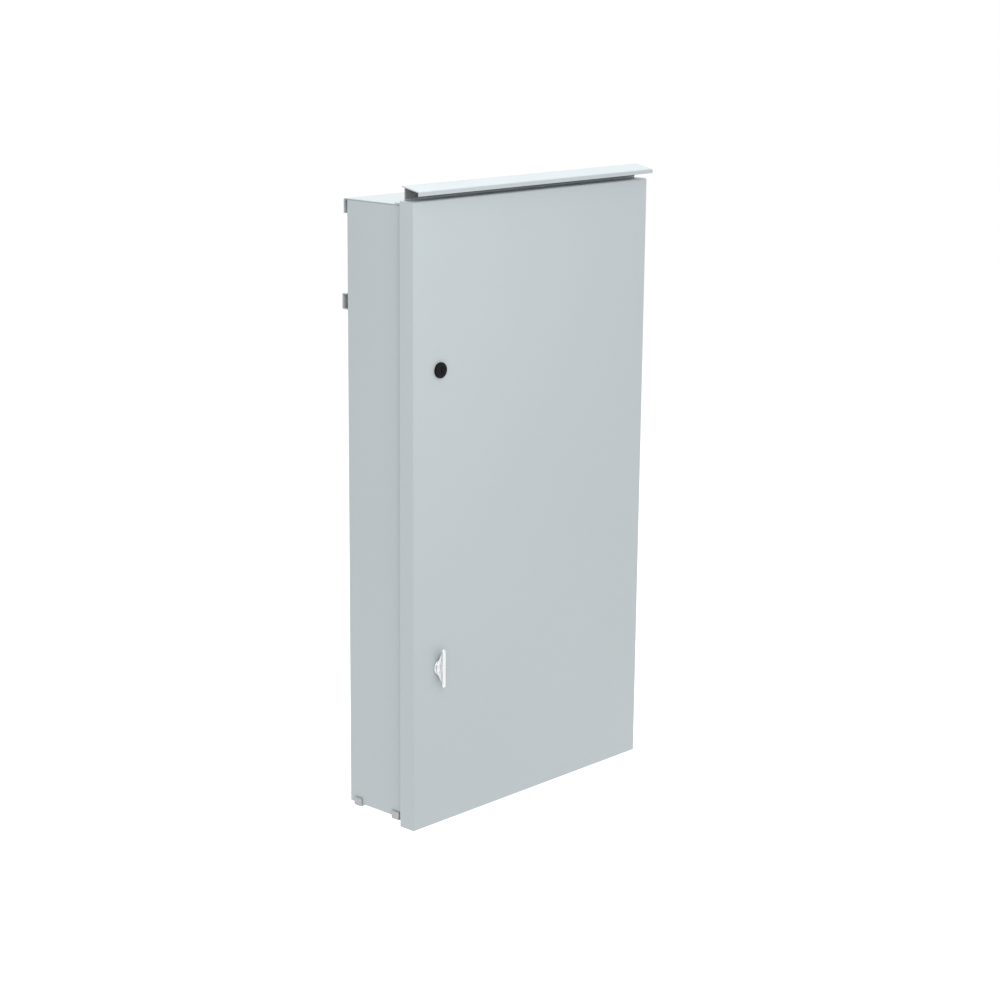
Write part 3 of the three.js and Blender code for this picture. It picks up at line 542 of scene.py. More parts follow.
def driver_screw(radius, height, recess="cross"):
    """A domed screw head with its recess, its top towards -Y and its seat at y = 0."""
    shape = bmesh.new()
    lathe(shape, [(0, 0), (radius, 0), (radius, -height * 0.45), (radius * 0.82, -height * 0.8),
                  (radius * 0.45, -height), (0, -height)], 0, 0, 24)
    long, thin, deep = radius * 0.62, radius * 0.13, height * 0.55
    arms = ((long, thin), (thin, long)) if recess == "cross" else ((radius * 1.1, thin),)
    cutters = [bmesh.new() for _ in arms]
    for cutter, (w, h) in zip(cutters, arms):
        block(cutter, -w, w, -height * 1.5, -deep, -h, h)
    return carved(shape, *cutters)


def hexagon(bm, x, z, across, y0, y1, bore=0.0, turn=0.0):
    """A nut or bolt head with its corners chamfered."""
    corner, chamfer, per_side = across / math.sqrt(3), across * 0.05, 4
    levels = ((0.94, y0), (1.0, y0 + chamfer), (1.0, y1 - chamfer), (0.94, y1))
    outer = [circle(bm, x, z, corner * share, y, 6, turn) for share, y in levels]
    bridge(bm, outer, capped=not bore)
    if not bore:
        return
    hole = [circle(bm, x, z, bore, y, 6 * per_side, turn) for y in (y0, y1)]
    bridge(bm, hole)
    for edge, inner in ((outer[0], hole[0]), (outer[-1], hole[1])):
        for i in range(6):
            fan = [inner[(i * per_side + k) % len(inner)] for k in range(per_side + 1)]
            bm.faces.new([edge[i], *fan, edge[(i + 1) % 6]])


RIVET = rivet(3.0, 0.9)
LOW_RIVET = rivet(2.6, 0.7)
PAN_SCREW = driver_screw(3.2, 2.2)
SLOT_SCREW = driver_screw(3.0, 1.6, "slot")
UPRIGHT = Matrix.Rotation(math.radians(90), 4, "X")
TO_TOP = Matrix.Rotation(math.radians(-90), 4, "X")
TO_RIGHT = Matrix.Rotation(math.radians(90), 4, "Z")


# Cabinet

def build_body():
    body = Span("body_wrapper")
    flange = 25
    mouth = body.x1 - flange
    bm = bmesh.new()
    path = [(mouth, body.y0), (body.x1, body.y0), (body.x1, body.y1), (-body.x1, body.y1),
            (-body.x1, body.y0), (-mouth, body.y0)]
    strip(bm, path, SHEET, BEND, "Z", body.z0, body.z1)
    publish("body_sheet", bm, PAINT, "body_wrapper")
    for node in ("end_plate_top", "end_plate_bottom"):
        softened(node, PAINT)


def build_roof():
    roof = Span("roof_cap")
    bm = bmesh.new()
    path = [(roof.y1, roof.z0), (roof.y1, roof.z1), (roof.y0, roof.z1)]
    strip(bm, path, SHEET, BEND, "X", roof.x0, roof.x1)
    publish("roof_sheet", bm, PAINT, "roof_cap")
    hood = Span("drip_hood")
    riser, fall, lip = -125.5, 6, 6
    edge = hood.z1 - fall
    bm = bmesh.new()
    eave = [(riser + SHEET, hood.z1), (riser, hood.z1), (hood.y0, edge), (hood.y0, edge - lip)]
    strip(bm, eave, SHEET, BEND, "X", hood.x0, hood.x1)
    wall = [(riser, hood.z1 - SHEET - 0.05), (riser, hood.z0), (hood.y1, hood.z0)]
    strip(bm, wall, SHEET, BEND, "X", roof.x0, roof.x1)
    for x in spread(roof.x0, roof.x1, 30, 7):
        stamp(bm, RIVET, (x, hood.y1 - 8, hood.z0 + SHEET), TO_TOP)
    publish("hood_sheet", bm, PAINT, "drip_hood")
    # A dark strip along the riser under the hood: painted shade for the shadowed inside of the hood's open
    # end, not a seal the cabinet has.
    bm = bmesh.new()
    block(bm, roof.x0, roof.x1, riser - 1.4, riser - 0.02, hood.z0 + 8, hood.z1 - 4)
    publish("hood_painted_shade_strip", bm, HOOD_SHADE_STRIP, rim=0.4)


def screw_heads(name, y, places):
    bm = bmesh.new()
    for x, z in places:
        stamp(bm, PAN_SCREW, (x, y, z))
    publish(name, bm, ZINC, rim=0)


def hole_tool(places, radius, y0, y1, sides=24):
    bm = bmesh.new()
    for x, z in places:
        rod(bm, x, z, radius, y0, y1, sides)
    return bm


def build_rails():
    for node, xs in (("wall_rail_upper", (-200, -80, 80, 200)), ("wall_rail_lower", (-120, 120))):
        rail = Span(node)
        bm = bmesh.new()
        path = [(rail.y0, rail.z0), (rail.y1, rail.z0), (rail.y1, rail.z1), (rail.y0, rail.z1)]
        strip(bm, path, SHEET, BEND, "X", rail.x0, rail.x1)
        holes = hole_tool([(x, rail.z) for x in xs], 4.5, rail.y1 - 4, rail.y1 + 1)
        publish(f"{node}_channel", carved(bm, holes), RAIL_PAINT, node)


def build_feet():
    for corner in ("rear_left", "rear_right", "front_left", "front_right"):
        softened(f"foot_{corner}", RUBBER, 0.8, 4)


def build_conduit_plugs():
    wide, barrel, core = 17, 14, 0.01
    for node in ("conduit_plug_left", "conduit_plug_right"):
        plug = Span(node)
        foot, seat = plug.z0, plug.z0 + 3
        bm = bmesh.new()
        closed_lathe(bm, [
            (core, foot), (wide - 1.4, foot), (wide - 0.4, foot + 0.5), (wide, foot + 1.6), (wide, seat),
            (barrel, seat), (barrel, plug.z1), (barrel - 1.8, plug.z1), (barrel - 1.8, seat), (core, seat),
        ], 0, 0)
        bm.transform(Matrix.Translation((plug.x, plug.y, 0)) @ UPRIGHT)
        publish(f"{node}_cap", bm, BLACK, node, rim=0)


# Hinge

def build_hinge():
    """Each leaf is a riveted strip with every second knuckle of the barrel."""
    pin = Span("hinge_pin")
    count, gap, leaf = 17, 0.3, 1.2
    knuckle, bore, chamfer = 3.5, 1.9, 0.3
    for node, first, strip_y, arm_y, head in (
        ("hinge_leaf_cabinet", 0, (-112, -92), (pin.y, -111), RIVET),
        ("hinge_leaf_door", 1, (-141, -120), (-121, pin.y - 1.5), LOW_RIVET),
    ):
        plate = Span(node)
        x0 = plate.x1 - 1 - leaf if first else plate.x0
        pitch = (plate.z1 - plate.z0) / count
        half = pitch / 2 - gap
        bm = bmesh.new()
        closed_lathe(bm, [(bore, -half), (knuckle - chamfer, -half), (knuckle, chamfer - half),
                          (knuckle, half - chamfer), (knuckle - chamfer, half), (bore, half)], 0, 0, 24)
        barrel = as_mesh(bm)
        bm = bmesh.new()
        block(bm, x0, x0 + leaf, *strip_y, plate.z0, plate.z1)
        for i in range(first, count, 2):
            z = plate.z0 + (i + 0.5) * pitch
            block(bm, x0, x0 + leaf, *arm_y, z - half, z + half)
            stamp(bm, barrel, (pin.x, pin.y, z), UPRIGHT)
        publish(f"{node}_strip", bm, PAINT, node, rim=0.15)
        bm = bmesh.new()
        for z in spread(plate.z0, plate.z1, 25, 9):
            stamp(bm, head, (x0 + leaf, sum(strip_y) / 2, z), TO_RIGHT)
        publish(f"{node}_rivets", bm, PAINT, body=BODY_OF[node], rim=0)
    bm = bmesh.new()
    r = 1.6
    lathe(bm, [(0, pin.z0), (r * 0.7, pin.z0), (r, pin.z0 + 0.5), (r, pin.z1 - 0.5), (r * 0.7, pin.z1),
               (0, pin.z1)], 0, 0, 20)
    bm.transform(Matrix.Translation((pin.x, pin.y, 0)) @ UPRIGHT)
    publish("hinge_pin_rod", bm, ZINC, "hinge_pin", rim=0)


# Door

def build_door_pan():
    door = Span("door_pan")
    top_return = 20
    bm = bmesh.new()
    block(bm, door.x0, door.x1, door.y0, door.y1, door.z0, door.z1)
    bmesh.ops.recalc_face_normals(bm, faces=bm.faces)
    rear = [f for f in bm.faces if f.normal.y > 0.5]
    bmesh.ops.delete(bm, geom=rear, context="FACES")
    folds = [e for e in bm.edges if len(e.link_faces) == 2]
    bmesh.ops.bevel(bm, geom=folds, offset=BEND, offset_type="OFFSET", segments=6, profile=0.5,
                    affect="EDGES", clamp_overlap=True)
    shell = linked("shell", as_mesh(bm))
    thick = shell.modifiers.new("thickness", "SOLIDIFY")
    settled(thick, thickness=SHEET * MM, offset=-1, use_even_offset=True)
    inner = door.x1 - SHEET - 1.2
    short = bmesh.new()
    block(short, -inner, inner, door.y0 + top_return, door.y1 + 1, door.z1 - 6, door.z1 + 1)
    holes = [hole_tool([(part.x, part.z)], radius, door.y0 - 1, door.y0 + SHEET + 1, 32)
             for part, radius in ((Span("lock_housing"), 9.6), (Span("latch_collar"), 8.5))]
    publish("door_sheet", carved(applied(shell), short, *holes), PAINT, "door_pan", sharp=50.0)


def build_gasket():
    """A foam strip on the door's inner face, crowned where it meets the cabinet's flange."""
    seal = Span("door_gasket")
    width = 20.5
    rise = seal.y1 - seal.y0
    bm = bmesh.new()
    section = [(0, 0), (0, 0.55), (0.06, 0.85), (0.18, 1.0), (0.82, 1.0), (0.94, 0.85), (1, 0.55), (1, 0)]
    rings = []
    for share, height in section:
        inset = share * width
        radius = max(6 - inset * 0.12, 3.5)
        y = seal.y0 + height * rise
        rings.append(outlined(bm, rounded_rect(*seal.face(inset), radius, 4), "Y", y))
    bridge(bm, rings, closed=True)
    publish("gasket_strip", bm, FOAM, "door_gasket", rim=0)


def build_stiffener():
    hat = Span("door_stiffener")
    brim = 16
    x0, x1 = hat.x0 + brim, hat.x1 - brim
    path = [(hat.x0, hat.y0), (x0, hat.y0), (x0, hat.y1 - SHEET), (x1, hat.y1 - SHEET), (x1, hat.y0),
            (hat.x1, hat.y0)]
    bm = bmesh.new()
    strip(bm, path, SHEET, 2.2, "Z", hat.z0, hat.z1)
    publish("stiffener_sheet", bm, PAINT, "door_stiffener")
    y = hat.y0 + SHEET
    weld = [(1.2, y - 0.1), (3, y - 0.1), (2.7, y + 0.2), (1.6, y + 0.12)]
    bm = bmesh.new()
    for z in spread(hat.z0, hat.z1, 25, 10):
        for x in (hat.x0 + 7, hat.x1 - 7):
            closed_lathe(bm, weld, x, z, 16)
    publish("stiffener_spot_welds", bm, PAINT, body="door", rim=0)


def build_pocket():
    pocket = Span("document_pocket")
    wall, thumb = 1.8, 32
    shell, hollow = bmesh.new(), bmesh.new()
    pad(shell, *pocket.face(), 5, pocket.y0, pocket.y1)
    pad(hollow, pocket.x0 + wall, pocket.x1 - wall, pocket.z0 + wall, pocket.z1 + 12, 4,
        pocket.y0 + wall, pocket.y1 - wall)
    notch = hole_tool([(pocket.x, pocket.z1)], thumb, pocket.y0 + wall + 1, pocket.y1 + 1, 48)
    publish("pocket_shell", carved(shell, hollow, notch), GREY, "document_pocket", rim=0.6, segments=3)
    bm = bmesh.new()
    for i in range(5):
        z = pocket.z0 + 30 + i * 30
        pad(bm, pocket.x0 + 18, pocket.x1 - 18, z, z + 3, 1.4, pocket.y1 - 0.2, pocket.y1 + 0.9)
    publish("pocket_ribs", bm, GREY, body="door", rim=0.4)


# Lock and latch

def build_cam(node):
    cam = Span(node)
    hub, tip = 8, 7.2
    axis_z = cam.z1 - hub
    bm = bmesh.new()
    outline = arc(cam.x, axis_z, hub, 0, 180, 12) + arc(cam.x, cam.z0 + tip, tip, 180, 360, 12)
    prism(bm, outline, "Y", cam.y0, cam.y1)
    hexagon(bm, cam.x, axis_z, 10, cam.y1, cam.y1 + 3.6)
    publish(f"{node}_arm", bm, ZINC, node, rim=0.3)


def build_lock():
    case = Span("lock_housing")
    head = case.y0
    seat = head + 3.7
    r, barrel, bore = 11.2, 9.3, 5.8
    pitch, groove = 1, 0.45
    thread = []
    y = seat + 2.2
    while y < case.y1 - 1.2:
        thread += [(barrel, y), (barrel - groove, y + pitch / 2)]
        y += pitch
    turned("lock_case", [
        (bore, case.y1), (bore, head + 0.4), (bore + 0.5, head), (r - 1.6, head),
        (r - 0.7, head + 0.25), (r - 0.1, head + 0.9), (r, head + 1.6), (r, seat),
        (barrel, seat), *thread, (barrel, case.y1),
    ], case, LOCK_BLACK, "lock_housing", closed=True)
    plug = Span("lock_plug")
    r, tail = 5.5, 3.5
    bm, keyway = bmesh.new(), bmesh.new()
    lathe(bm, [(0, plug.y0), (r - 0.5, plug.y0), (r, plug.y0 + 0.4), (r, case.y1), (tail, case.y1),
               (tail, plug.y1 - 0.3), (tail - 0.4, plug.y1), (0, plug.y1)], plug.x, plug.z)
    outline = ((-0.8, -3.9), (0.8, -3.9), (0.8, -1.0), (1.5, -0.4), (1.5, 0.8), (0.8, 1.2), (0.8, 3.9),
               (-0.8, 3.9))
    prism(keyway, [(plug.x + a, plug.z + b) for a, b in outline], "Y", plug.y0 - 1, plug.y0 + 8)
    publish("lock_rotor_plug", carved(bm, keyway), LOCK_BLACK, "lock_plug", rim=0.15)
    for node, across, bore in (("lock_nut", 24, 9.6), ("latch_nut", 22, 8.5)):
        nut = Span(node)
        bm = bmesh.new()
        hexagon(bm, nut.x, nut.z, across, nut.y0, nut.y1, bore, math.radians(30))
        publish(f"{node}_hex", bm, ZINC, node, rim=0.2)


def build_wing(wing, under):
    """The wing: an upright grip bar, carried by a web that thickens and spreads from bar to hub."""
    half = (wing.z1 - wing.z0) / 2
    rows = 33
    bm = bmesh.new()
    rings = []
    for i in range(rows):
        s = -1 + 2 * i / (rows - 1)
        reach = abs(s)
        tip = max(0.0, (reach - 0.9) / 0.1)
        grip = 3.2 * math.sqrt(max(0.04, 1 - tip * tip * 0.75))
        crown = wing.y0 + 0.9 * tip * tip
        bar = wing.y0 + 3.0 - 0.6 * tip * tip
        share = min(1.0, max(0.0, (0.90 - reach) / 0.62))
        foot = bar + (under - 0.1 - bar) * share
        neck = 1.5 + share
        base = 1.5 + 5.5 * share * share
        middle = (bar + foot) / 2
        profile = [(grip - 0.9, crown), (grip, crown + 0.8), (grip, bar - 0.7),
                   (min(neck, grip) + 0.3, bar), (min(neck, grip), middle), (min(base, grip + 4), foot)]
        loop = [(wing.x + x, y) for x, y in profile] + [(wing.x - x, y) for x, y in reversed(profile)]
        rings.append(outlined(bm, loop, "Z", wing.z + half * s))
    bridge(bm, rings, capped=True)
    publish("latch_wing", bm, CHROME, "latch_handle", rim=0.35, segments=3, sharp=40.0)


def build_latch():
    collar = Span("latch_collar")
    seat = Span("door_pan").y0 - 0.3
    barrel, bore, wide = 8.2, 5.3, 10.8
    turned("latch_collar_ring", [
        (bore, collar.y1), (bore, collar.y0), (wide - 2.6, collar.y0), (wide - 1.1, collar.y0 + 0.3),
        (wide - 0.3, collar.y0 + 1), (wide, collar.y0 + 1.8), (wide, seat), (barrel, seat),
        (barrel, collar.y1),
    ], collar, CHROME, "latch_collar", closed=True)
    wing = Span("latch_handle")
    under = collar.y0 - 0.3
    build_wing(wing, under)
    tail = 3.5
    turned("latch_spindle", [
        (0, under - 3.4), (4, under - 3.3), (7.6, under - 2.4), (9, under - 1.2), (9, under), (5, under),
        (5, collar.y1), (tail, collar.y1), (tail, wing.y1), (0, wing.y1),
    ], wing, CHROME, body="latch_rotor")


# Mounting plate and the pieces on it

def build_mounting_plate():
    softened("mounting_plate", BRUSHED, 0.4, 3)
    plate = Span("mounting_plate")
    spacer, r, pitch = 6, 3, 1
    for side in ("lower_left", "lower_right", "upper_left", "upper_right"):
        stud = Span(f"stud_{side}")
        thread = []
        y = plate.y0 - 1.0
        while y > stud.y0 + 1.2:
            thread += [(r, y), (r - 0.35, y - pitch / 2)]
            y -= pitch
        bm = bmesh.new()
        lathe(bm, [(0, stud.y1), (spacer, stud.y1), (spacer, plate.y1 + 0.3), (r, plate.y1 + 0.3), *thread,
                   (r, stud.y0 + 0.8), (r - 0.6, stud.y0), (0, stud.y0)], stud.x, stud.z, 24)
        y0, y1 = plate.y0 - 1.1, plate.y0 - 0.3
        closed_lathe(bm, [(3.1, y1), (6, y1), (6, y0), (3.1, y0)], stud.x, stud.z, 32)
        hexagon(bm, stud.x, stud.z, 10, plate.y0 - 6, plate.y0 - 1.2, 3.05, 0.3)
        publish(f"stud_{side}_set", bm, ZINC, f"stud_{side}", rim=0)


def chip(bm, pins, x, y, z, wide, tall):
    """A black package with a row of legs on its two long sides. y is the board's face."""
    block(bm, x - wide / 2, x + wide / 2, y - 2.6, y - 0.5, z - tall / 2, z + tall / 2)
    count = max(2, int(tall / 1.6))
    for i in range(count):
        pz = z - tall / 2 + (i + 0.5) * tall / count
        for edge in (x - wide / 2 - 1.1, x + wide / 2):
            block(pins, edge, edge + 1.1, y - 1.5, y - 0.05, pz - 0.3, pz + 0.3)


def capacitors(name, board, face, places):
    sleeves, tops = bmesh.new(), bmesh.new()
    for dx, dz, r, height in places:
        x, z, top = board.x0 + dx, board.z0 + dz, face - height
        sleeve = [(0, face), (r * 0.96, face), (r, face - 0.6), (r, face - 1.6), (r * 0.94, face - 2.0),
                  (r, face - 2.4), (r, top + 0.5), (r * 0.93, top), (r * 0.85, top), (r * 0.85, top + 0.1),
                  (0, top + 0.1)]
        lid = [(0, top + 0.05), (r * 0.84, top + 0.05), (r * 0.82, top - 0.25), (0, top - 0.25)]
        lathe(sleeves, sleeve, x, z, 28)
        lathe(tops, lid, x, z, 28)
    publish(f"{name}_capacitors", sleeves, SLEEVE, rim=0)
    publish(f"{name}_capacitor_tops", tops, TINNED, rim=0)


def board_plate(name, node, y):
    board = Span(node)
    bm = bmesh.new()
    pad(bm, *board.face(), 2.5, y, y + BOARD_THICK, 4)
    publish(name, bm, BOARD, node, rim=0.1)
    return board


def terminal_row(name, x0, x1, z0, z1, top, y, ways, material, node=None):
    """Clamp terminals: stepped housings, wire mouths at the foot and a screw in the top of each."""
    pitch, depth = (x1 - x0) / ways, z1 - z0
    step = y + (top - y) * 0.55
    sink, screw_z = top + 2.6, z0 + depth * 0.64
    middles = [x0 + (i + 0.5) * pitch for i in range(ways)]
    housing, tools = bmesh.new(), bmesh.new()
    section = [(y, z0), (step, z0), (top, z0 + depth * 0.30), (top, z1 - depth * 0.06), (top + 0.8, z1),
               (y, z1)]
    prism(housing, section, "X", x0, x1)
    w = pitch * 0.34
    for x in middles:
        block(tools, x - w, x + w, step + 0.8, y - 1.6, z0 - 1, z0 + 5)
        rod(tools, x, screw_z, w, top - 1, sink, 20)
    for i in range(1, ways):
        x = x0 + i * pitch
        block(tools, x - 0.2, x + 0.2, top - 1, top + 0.7, z0 - 1, z1 + 1)
    publish(f"{name}_housing", carved(housing, tools), material, node, rim=0.15, segments=1)
    screws = bmesh.new()
    scale = Matrix.Scale(pitch * 0.31 / 3.0, 4)
    w = pitch * 0.3
    for x in middles:
        turn = Matrix.Rotation(chance.uniform(0, math.pi), 4, "Y")
        stamp(screws, SLOT_SCREW, (x, sink, screw_z), turn @ scale)
        block(screws, x - w, x + w, y - 3.6, y - 2.2, z0 + 1.0, z0 + 4.9)
    publish(f"{name}_screws", screws, TINNED, rim=0)


def build_loop_card():
    face = -41.6
    card = board_plate("loop_board", "loop_card", face)
    plate = Span("mounting_plate")
    metal, black, pins, white = (bmesh.new() for _ in range(4))
    for x in (card.x0 + 6, card.x1 - 6):
        for z in (card.z0 + 6, card.z1 - 6):
            hexagon(metal, x, z, 5.5, face + BOARD_THICK, plate.y0)
            stamp(metal, PAN_SCREW, (x, face, z))
    for dx, dz, w, h in ((30, 85, 12, 24), (62, 70, 9, 18), (62, 100, 9, 12), (34, 55, 7, 9)):
        chip(black, pins, card.x0 + dx, face, card.z0 + dz, w, h)
    z = card.z0 + 102
    for dx in (92, 112, 132, 152):
        x = card.x0 + dx
        pad(white, x - 7.5, x + 7.5, z - 10, z + 10, 1, face - 15, face, 3)
    for _ in range(34):
        x = card.x0 + chance.uniform(12, 168)
        z = card.z0 + chance.choice((48, 76, 125, 131, 137))
        block(black, x - 1.0, x + 1.0, face - 0.7, face + 0.05, z - 0.6, z + 0.6)
        for end in (x - 1.3, x + 1.3):
            block(pins, end - 0.35, end + 0.35, face - 0.6, face + 0.05, z - 0.6, z + 0.6)
    publish("loop_card_fixings", metal, ZINC, rim=0)
    publish("loop_card_chips", black, BLACK, rim=0.1, segments=1)
    publish("loop_card_pins", pins, TINNED, rim=0)
    publish("loop_card_relays", white, RELAY, rim=0.3)
    places = ((90, 60, 5, 12), (104, 60, 5, 12), (120, 62, 6.3, 16), (140, 60, 4, 9), (152, 60, 4, 9))
    capacitors("loop_card", card, face, places)
    row = Span("loop_terminals")
    terminal_row("loop_terminals", *row.face(), row.y0, row.y1, 16, GREEN, "loop_terminals")


def build_supply_case(case):
    """A folded case with nine vent slots; its front and inside stop above the terminals at its foot."""
    wall, doorway = 1.2, case.z0 + 22
    shell, inside, mouth, slots = (bmesh.new() for _ in range(4))
    block(shell, case.x0, case.x1, case.y0, case.y1, case.z0, case.z1)
    x0, x1 = case.x0 + wall, case.x1 - wall
    block(inside, x0, x1, case.y0 + wall, case.y1 - 2, case.z0 - 1, case.z1 - wall)
    block(mouth, x0, x1, case.y0 - 1, case.y0 + 2, case.z0 - 1, doorway)
    for i in range(9):
        x = case.x0 + 22 + i * 17
        pad(slots, x - 2.5, x + 2.5, case.z0 + 40, case.z1 - 20, 2.4, case.y0 - 1, case.y0 + 2, 4)
    publish("power_case_shell", carved(shell, inside, mouth, slots), ZINC, "power_supply_case", rim=0.3)


def build_power_supply():
    case = Span("power_supply_case")
    build_supply_case(case)
    face = case.y1 - 9.6
    board = board_plate("power_board", "power_supply_board", face)
    places = ((40, 100, 11, 30), (66, 100, 11, 30), (40, 60, 9, 28), (124, 60, 6, 20), (140, 60, 6, 20))
    capacitors("power", board, face, places)
    black = bmesh.new()
    for dx, dz, w, h in ((95, 90, 26, 30), (130, 100, 4, 60)):
        x, z = board.x0 + dx, board.z0 + dz
        block(black, x - w / 2, x + w / 2, face - 28, face, z - h / 2, z + h / 2)
    publish("power_chokes", black, BLACK, rim=0.5)
    terminal_row("power_terminals", case.x0 + 20, case.x1 - 20, board.z0 + 1, board.z0 + 17, face - 14.95,
                 face + 0.05, 8, BLACK)
    screw_heads("power_case_screws", case.y0, [(x, z) for x in (case.x0 + 9, case.x1 - 9)
                                               for z in (case.z0 + 30, case.z1 - 9)])


def build_transformer():
    softened("transformer_core", CORE, 0.5, 3)
    coil = Span("transformer_coil")
    core = Span("transformer_core")
    cheek, bore_x, bore_y = 2, 10.3, 19.3
    outer = rounded_rect(*coil.plan(), 8, 8)
    inner = rounded_rect(coil.x - bore_x, coil.x + bore_x, coil.y - bore_y, coil.y + bore_y, 1, 8)
    z0, z1 = coil.z0 + cheek, coil.z1 - cheek
    bm = bmesh.new()
    loops = ((outer, z0), (outer, z1), (inner, z1), (inner, z0))
    bridge(bm, [outlined(bm, loop, "Z", z) for loop, z in loops], closed=True)
    publish("winding", bm, WIRE, "transformer_coil", rim=0.8, segments=3)
    bm = bmesh.new()
    for low, high in ((coil.z0, z0), (z1, coil.z1)):
        pad(bm, coil.x0, coil.x1, coil.y0, coil.y0 + 11.4, 2, low, high, axis="Z")
    publish("bobbin_cheeks", bm, BLACK, rim=0.3)
    swell, lift = 0.004, 0.3
    band = [(x + (x - coil.x) * swell, y - lift if y < coil.y else y) for x, y in outer]
    front = sorted((p for p in band if p[1] < coil.y0 + 12), key=lambda p: p[0])
    bm = bmesh.new()
    strip(bm, front, 0.25, 0.3, "Z", coil.z - 6, coil.z + 6, steps=1)
    publish("winding_tape_band", bm, TAPE, rim=0)
    bm = bmesh.new()
    for dz in (-34, 34):
        for dx in (-30, 30):
            stamp(bm, PAN_SCREW, (core.x + dx, core.y1 - 4, core.z + dz))
    for dz in (-22, 22):
        for dx in (-34, 34):
            hexagon(bm, core.x + dx, core.z + dz, 7, core.y0 - 3, core.y0, turn=0.4)
    publish("transformer_screws", bm, ZINC, rim=0)


def build_mains():
    row = Span("mains_terminals")
    terminal_row("mains", *row.face(), row.y0, row.y1, 4, BLACK, "mains_terminals")
    fuse = Span("fuse_holder")
    base_top = fuse.y1 - 12
    bm, slot = bmesh.new(), bmesh.new()
    pad(bm, *fuse.face(), 3, base_top, fuse.y1)
    lathe(bm, [(0, fuse.y0), (6.4, fuse.y0), (7.6, fuse.y0 + 0.6), (8, fuse.y0 + 6),
               (9, fuse.y0 + 7), (9, base_top + 0.5), (0, base_top + 0.5)], fuse.x, fuse.z)
    block(slot, fuse.x - 5, fuse.x + 5, fuse.y0 - 1, fuse.y0 + 1.6, fuse.z - 0.7, fuse.z + 0.7)
    publish("fuse_carrier", carved(bm, slot), BLACK, "fuse_holder", rim=0.25)
    screw_heads("fuse_screws", base_top, [(x, fuse.z) for x in (fuse.x0 + 7, fuse.x1 - 7)])
    bar = Span("earth_bar")
    top = bar.y0 + 3
    bm = bmesh.new()
    pad(bm, *bar.face(), 1.2, top, top + 6, 3)
    for x in (bar.x0 + 10, bar.x1 - 10):
        rod(bm, x, bar.z, 4, top + 5, bar.y1, 20)
    publish("earth_strip", bm, BRASS, "earth_bar", rim=0.4)
    screws = bmesh.new()
    for i in range(7):
        turn = Matrix.Rotation(chance.uniform(0, math.pi), 4, "Y")
        stamp(screws, SLOT_SCREW, (bar.x0 + 26 + i * 18, top, bar.z), turn @ Matrix.Scale(1.15, 4))
    publish("earth_screws", screws, BRASS, rim=0)


# Control cover

def build_control_cover():
    softened("control_cover", COVER_PAINT, 0.5, 3)
    cover = Span("control_cover")
    window = Span("display_window")
    overlap, wide, rise = 4, 7, 2.2
    outer = rounded_rect(*window.face(overlap - wide), 5, 6)
    inner = rounded_rect(*window.face(overlap), 1.5, 6)
    crown = [(x * 0.994 + window.x * 0.006, z * 0.98 + window.z * 0.02) for x, z in outer]
    loops = ((outer, 0), (outer, rise * 0.6), (crown, rise), (inner, rise * 0.7), (inner, 0))
    bm = bmesh.new()
    bridge(bm, [outlined(bm, loop, "Y", cover.y0 - up) for loop, up in loops], closed=True)
    publish("display_bezel", bm, BLACK, rim=0.2)
    for node in ("cover_screw_left", "cover_screw_right"):
        screw = Span(node)
        bm = bmesh.new()
        rod(bm, screw.x, screw.z, 2, screw.y0 + 1, screw.y1, 16)
        stamp(bm, PAN_SCREW, (screw.x, cover.y0 - 0.3, screw.z), Matrix.Scale(1.18, 4))
        publish(f"{node}_head", bm, ZINC, node, rim=0)


def build_display():
    softened("display_window", GLASS, 0.2)
    lcd = Span("display_module")
    bm = bmesh.new()
    block(bm, lcd.x0, lcd.x1, lcd.y0 + 0.8, lcd.y1, lcd.z0, lcd.z1)
    publish("display_panel", bm, LCD, "display_module", rim=0.3)
    border = 7
    x0, x1, z0, z1 = lcd.face(border)
    bm = bmesh.new()
    for a, b, low, high in ((lcd.x0, lcd.x1, lcd.z0, z0), (lcd.x0, lcd.x1, z1, lcd.z1), (lcd.x0, x0, z0, z1),
                            (x1, lcd.x1, z0, z1)):
        block(bm, a, b, lcd.y0, lcd.y0 + 0.7, low, high)
    publish("display_frame", bm, BLACK, rim=0.1)
    front = Span("control_cover").y0
    back = Span("display_board").y1 - BOARD_THICK
    panel = board_plate("display_circuit", "display_board", back)
    bezels, strips = bmesh.new(), bmesh.new()
    r, rise, z = 3, 2.1, panel.z1 - 37
    turns = [math.radians(15 * k) for k in range(6)]
    dome = [(r * math.cos(t), front + 0.4 - rise * math.sin(t)) for t in turns]
    bezel = [(3.45, front + 0.2), (3.45, front - 0.9), (4.1, front - 0.9), (4.9, front)]
    for i, colour in enumerate(("green", "amber", "amber", "red", "red", "amber")):
        x = 45 + i * 24
        bm = bmesh.new()
        lathe(bm, [(0, back), (r, back), *dome, (0, front + 0.4 - rise)], x, z, 28)
        publish(f"lamp_{i + 1}_{colour}", bm, LAMPS[colour], rim=0)
        closed_lathe(bezels, bezel, x, z, 32)
        pad(strips, x - 9, x + 9, z - 18, z - 11, 1, front - 0.35, front + 0.05, 3)
    publish("lamp_bezels", bezels, TINNED, rim=0)
    bm = bmesh.new()
    rod(bm, 150, -10, 13, front + 2, back)
    publish("sounder_can", bm, BLACK, rim=0.3)
    for key in map(Span, KEYS):
        pad(strips, key.x0 + 3, key.x1 - 3, key.z1 + 4, key.z1 + 11, 1, front - 0.35, front + 0.05, 3)
    publish("blank_legend_strips", strips, BLANK_LABEL, rim=0.15, segments=1)


